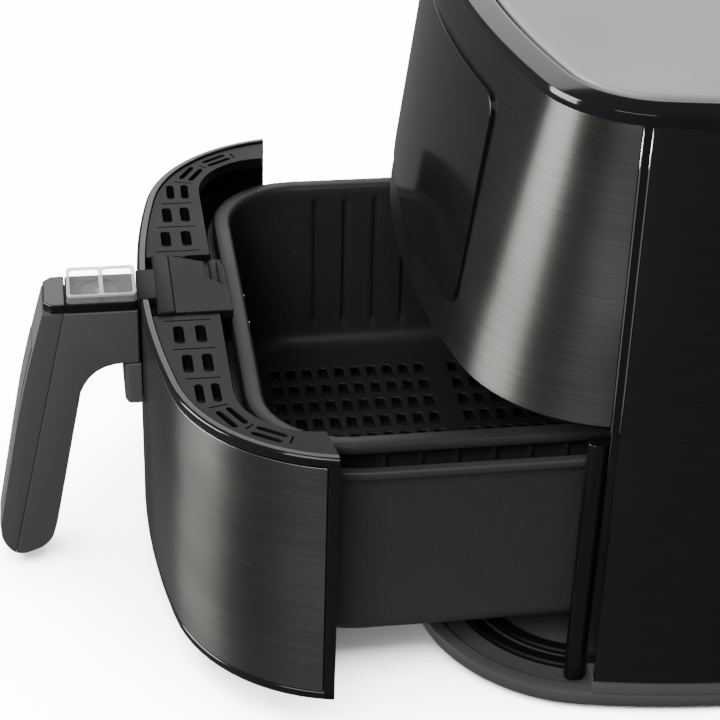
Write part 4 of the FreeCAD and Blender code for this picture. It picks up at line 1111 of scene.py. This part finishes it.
class FRYER_OT_stage(Maker, bpy.types.Operator):
    """Pale floor, soft studio light and the camera"""
    bl_idname = "fryer.stage"
    bl_label = "Stage"

    def execute(self, context):
        scene = context.scene
        bm = bmesh.new()
        bmesh.ops.create_grid(bm, x_segments=1, y_segments=1, size=6)
        mesh = bpy.data.meshes.new("floor")
        bm.to_mesh(mesh)
        bm.free()
        floor = bpy.data.objects.new("floor", mesh)
        scene.collection.objects.link(floor)
        mesh.materials.append(finish("floor_white", (0.95, 0.95, 0.95), 0.6, vary=0.01,
                                     scale=3, relief=0.0))
        floor.visible_glossy = False
        floor.visible_diffuse = False
        world = bpy.data.worlds.new("studio")
        world.use_nodes = True
        world.node_tree.nodes["Background"].inputs["Color"].default_value = (1, 1, 1, 1)
        world.node_tree.nodes["Background"].inputs["Strength"].default_value = 0.20
        scene.world = world
        ground = bpy.data.collections.new("ground")
        ground.objects.link(floor)
        softboxes = (
            ("key_box", (1.5, -0.9, 1.7), 1.3, 46.0, None),
            ("front_box", (-0.22, -1.9, 0.50), 1.1, 78.0, None),
            ("back_box", (-1.8, 0.3, 1.3), 1.5, 20.0, None),
            ("ground_box", (0.0, 0.0, 3.0), 5.0, 2600.0, ground),
        )
        for name, place, size, power, receivers in softboxes:
            lamp = bpy.data.lights.new(name, "AREA")
            lamp.energy = power
            lamp.size = size
            holder = bpy.data.objects.new(name, lamp)
            holder.location = place
            aim = Vector((0, -0.1, 0.15)) - holder.location
            holder.rotation_euler = aim.to_track_quat("-Z", "Y").to_euler()
            if receivers:
                holder.light_linking.receiver_collection = receivers
                holder.visible_glossy = False
            scene.collection.objects.link(holder)
        camera = bpy.data.cameras.new("camera")
        camera.lens = 100.0
        camera.sensor_width = 36.0
        holder = bpy.data.objects.new("camera", camera)
        a, e, roll = (math.radians(v) for v in (80.6, 32.0, 1.84))
        back = Vector((math.sin(a) * math.cos(e), -math.cos(a) * math.cos(e), math.sin(e)))
        right = Vector((math.cos(a), math.sin(a), 0))
        up = back.cross(right)
        across = right * math.cos(roll) + up * math.sin(roll)
        upward = up * math.cos(roll) - right * math.sin(roll)
        turn = Matrix((across, upward, back)).transposed().to_4x4()
        holder.matrix_world = Matrix.Translation((0.77788, -0.29358, 0.58862)) @ turn
        scene.collection.objects.link(holder)
        scene.camera = holder
        return {"FINISHED"}


class FRYER_PT_panel(bpy.types.Panel):
    """Lists the operators in the sidebar"""
    bl_label = "Air Fryer"
    bl_space_type = "VIEW_3D"
    bl_region_type = "UI"
    bl_category = "Air Fryer"

    def draw(self, context):
        for maker in MAKERS:
            self.layout.operator(maker.bl_idname)
        for group in GROUPS:
            owner = getattr(context.scene, group)
            for name in owner.__annotations__:
                self.layout.prop(owner, name)


GROUPS = {"fryer_housing": HousingSizes, "fryer_drawer": DrawerSizes,
          "fryer_basket": BasketSizes, "fryer_handle": HandleSizes,
          "fryer_colours": Colours}
MAKERS = (FRYER_OT_finishes, FRYER_OT_crown, FRYER_OT_shells, FRYER_OT_panel,
          FRYER_OT_base, FRYER_OT_drawer_front, FRYER_OT_vent_cover, FRYER_OT_pan,
          FRYER_OT_basket, FRYER_OT_handle, FRYER_OT_release, FRYER_OT_bridge,
          FRYER_OT_stage)


def register():
    for group in GROUPS.values():
        bpy.utils.register_class(group)
    for name, group in GROUPS.items():
        setattr(bpy.types.Scene, name, PointerProperty(type=group))
    for maker in MAKERS:
        bpy.utils.register_class(maker)
    bpy.utils.register_class(FRYER_PT_panel)


def unregister():
    bpy.utils.unregister_class(FRYER_PT_panel)
    for maker in reversed(MAKERS):
        bpy.utils.unregister_class(maker)
    for name, group in GROUPS.items():
        delattr(bpy.types.Scene, name)
        bpy.utils.unregister_class(group)


def main():
    register()
    for maker in MAKERS:
        area, name = maker.bl_idname.split(".")
        getattr(getattr(bpy.ops, area), name)()


if __name__ == "__main__":
    main()
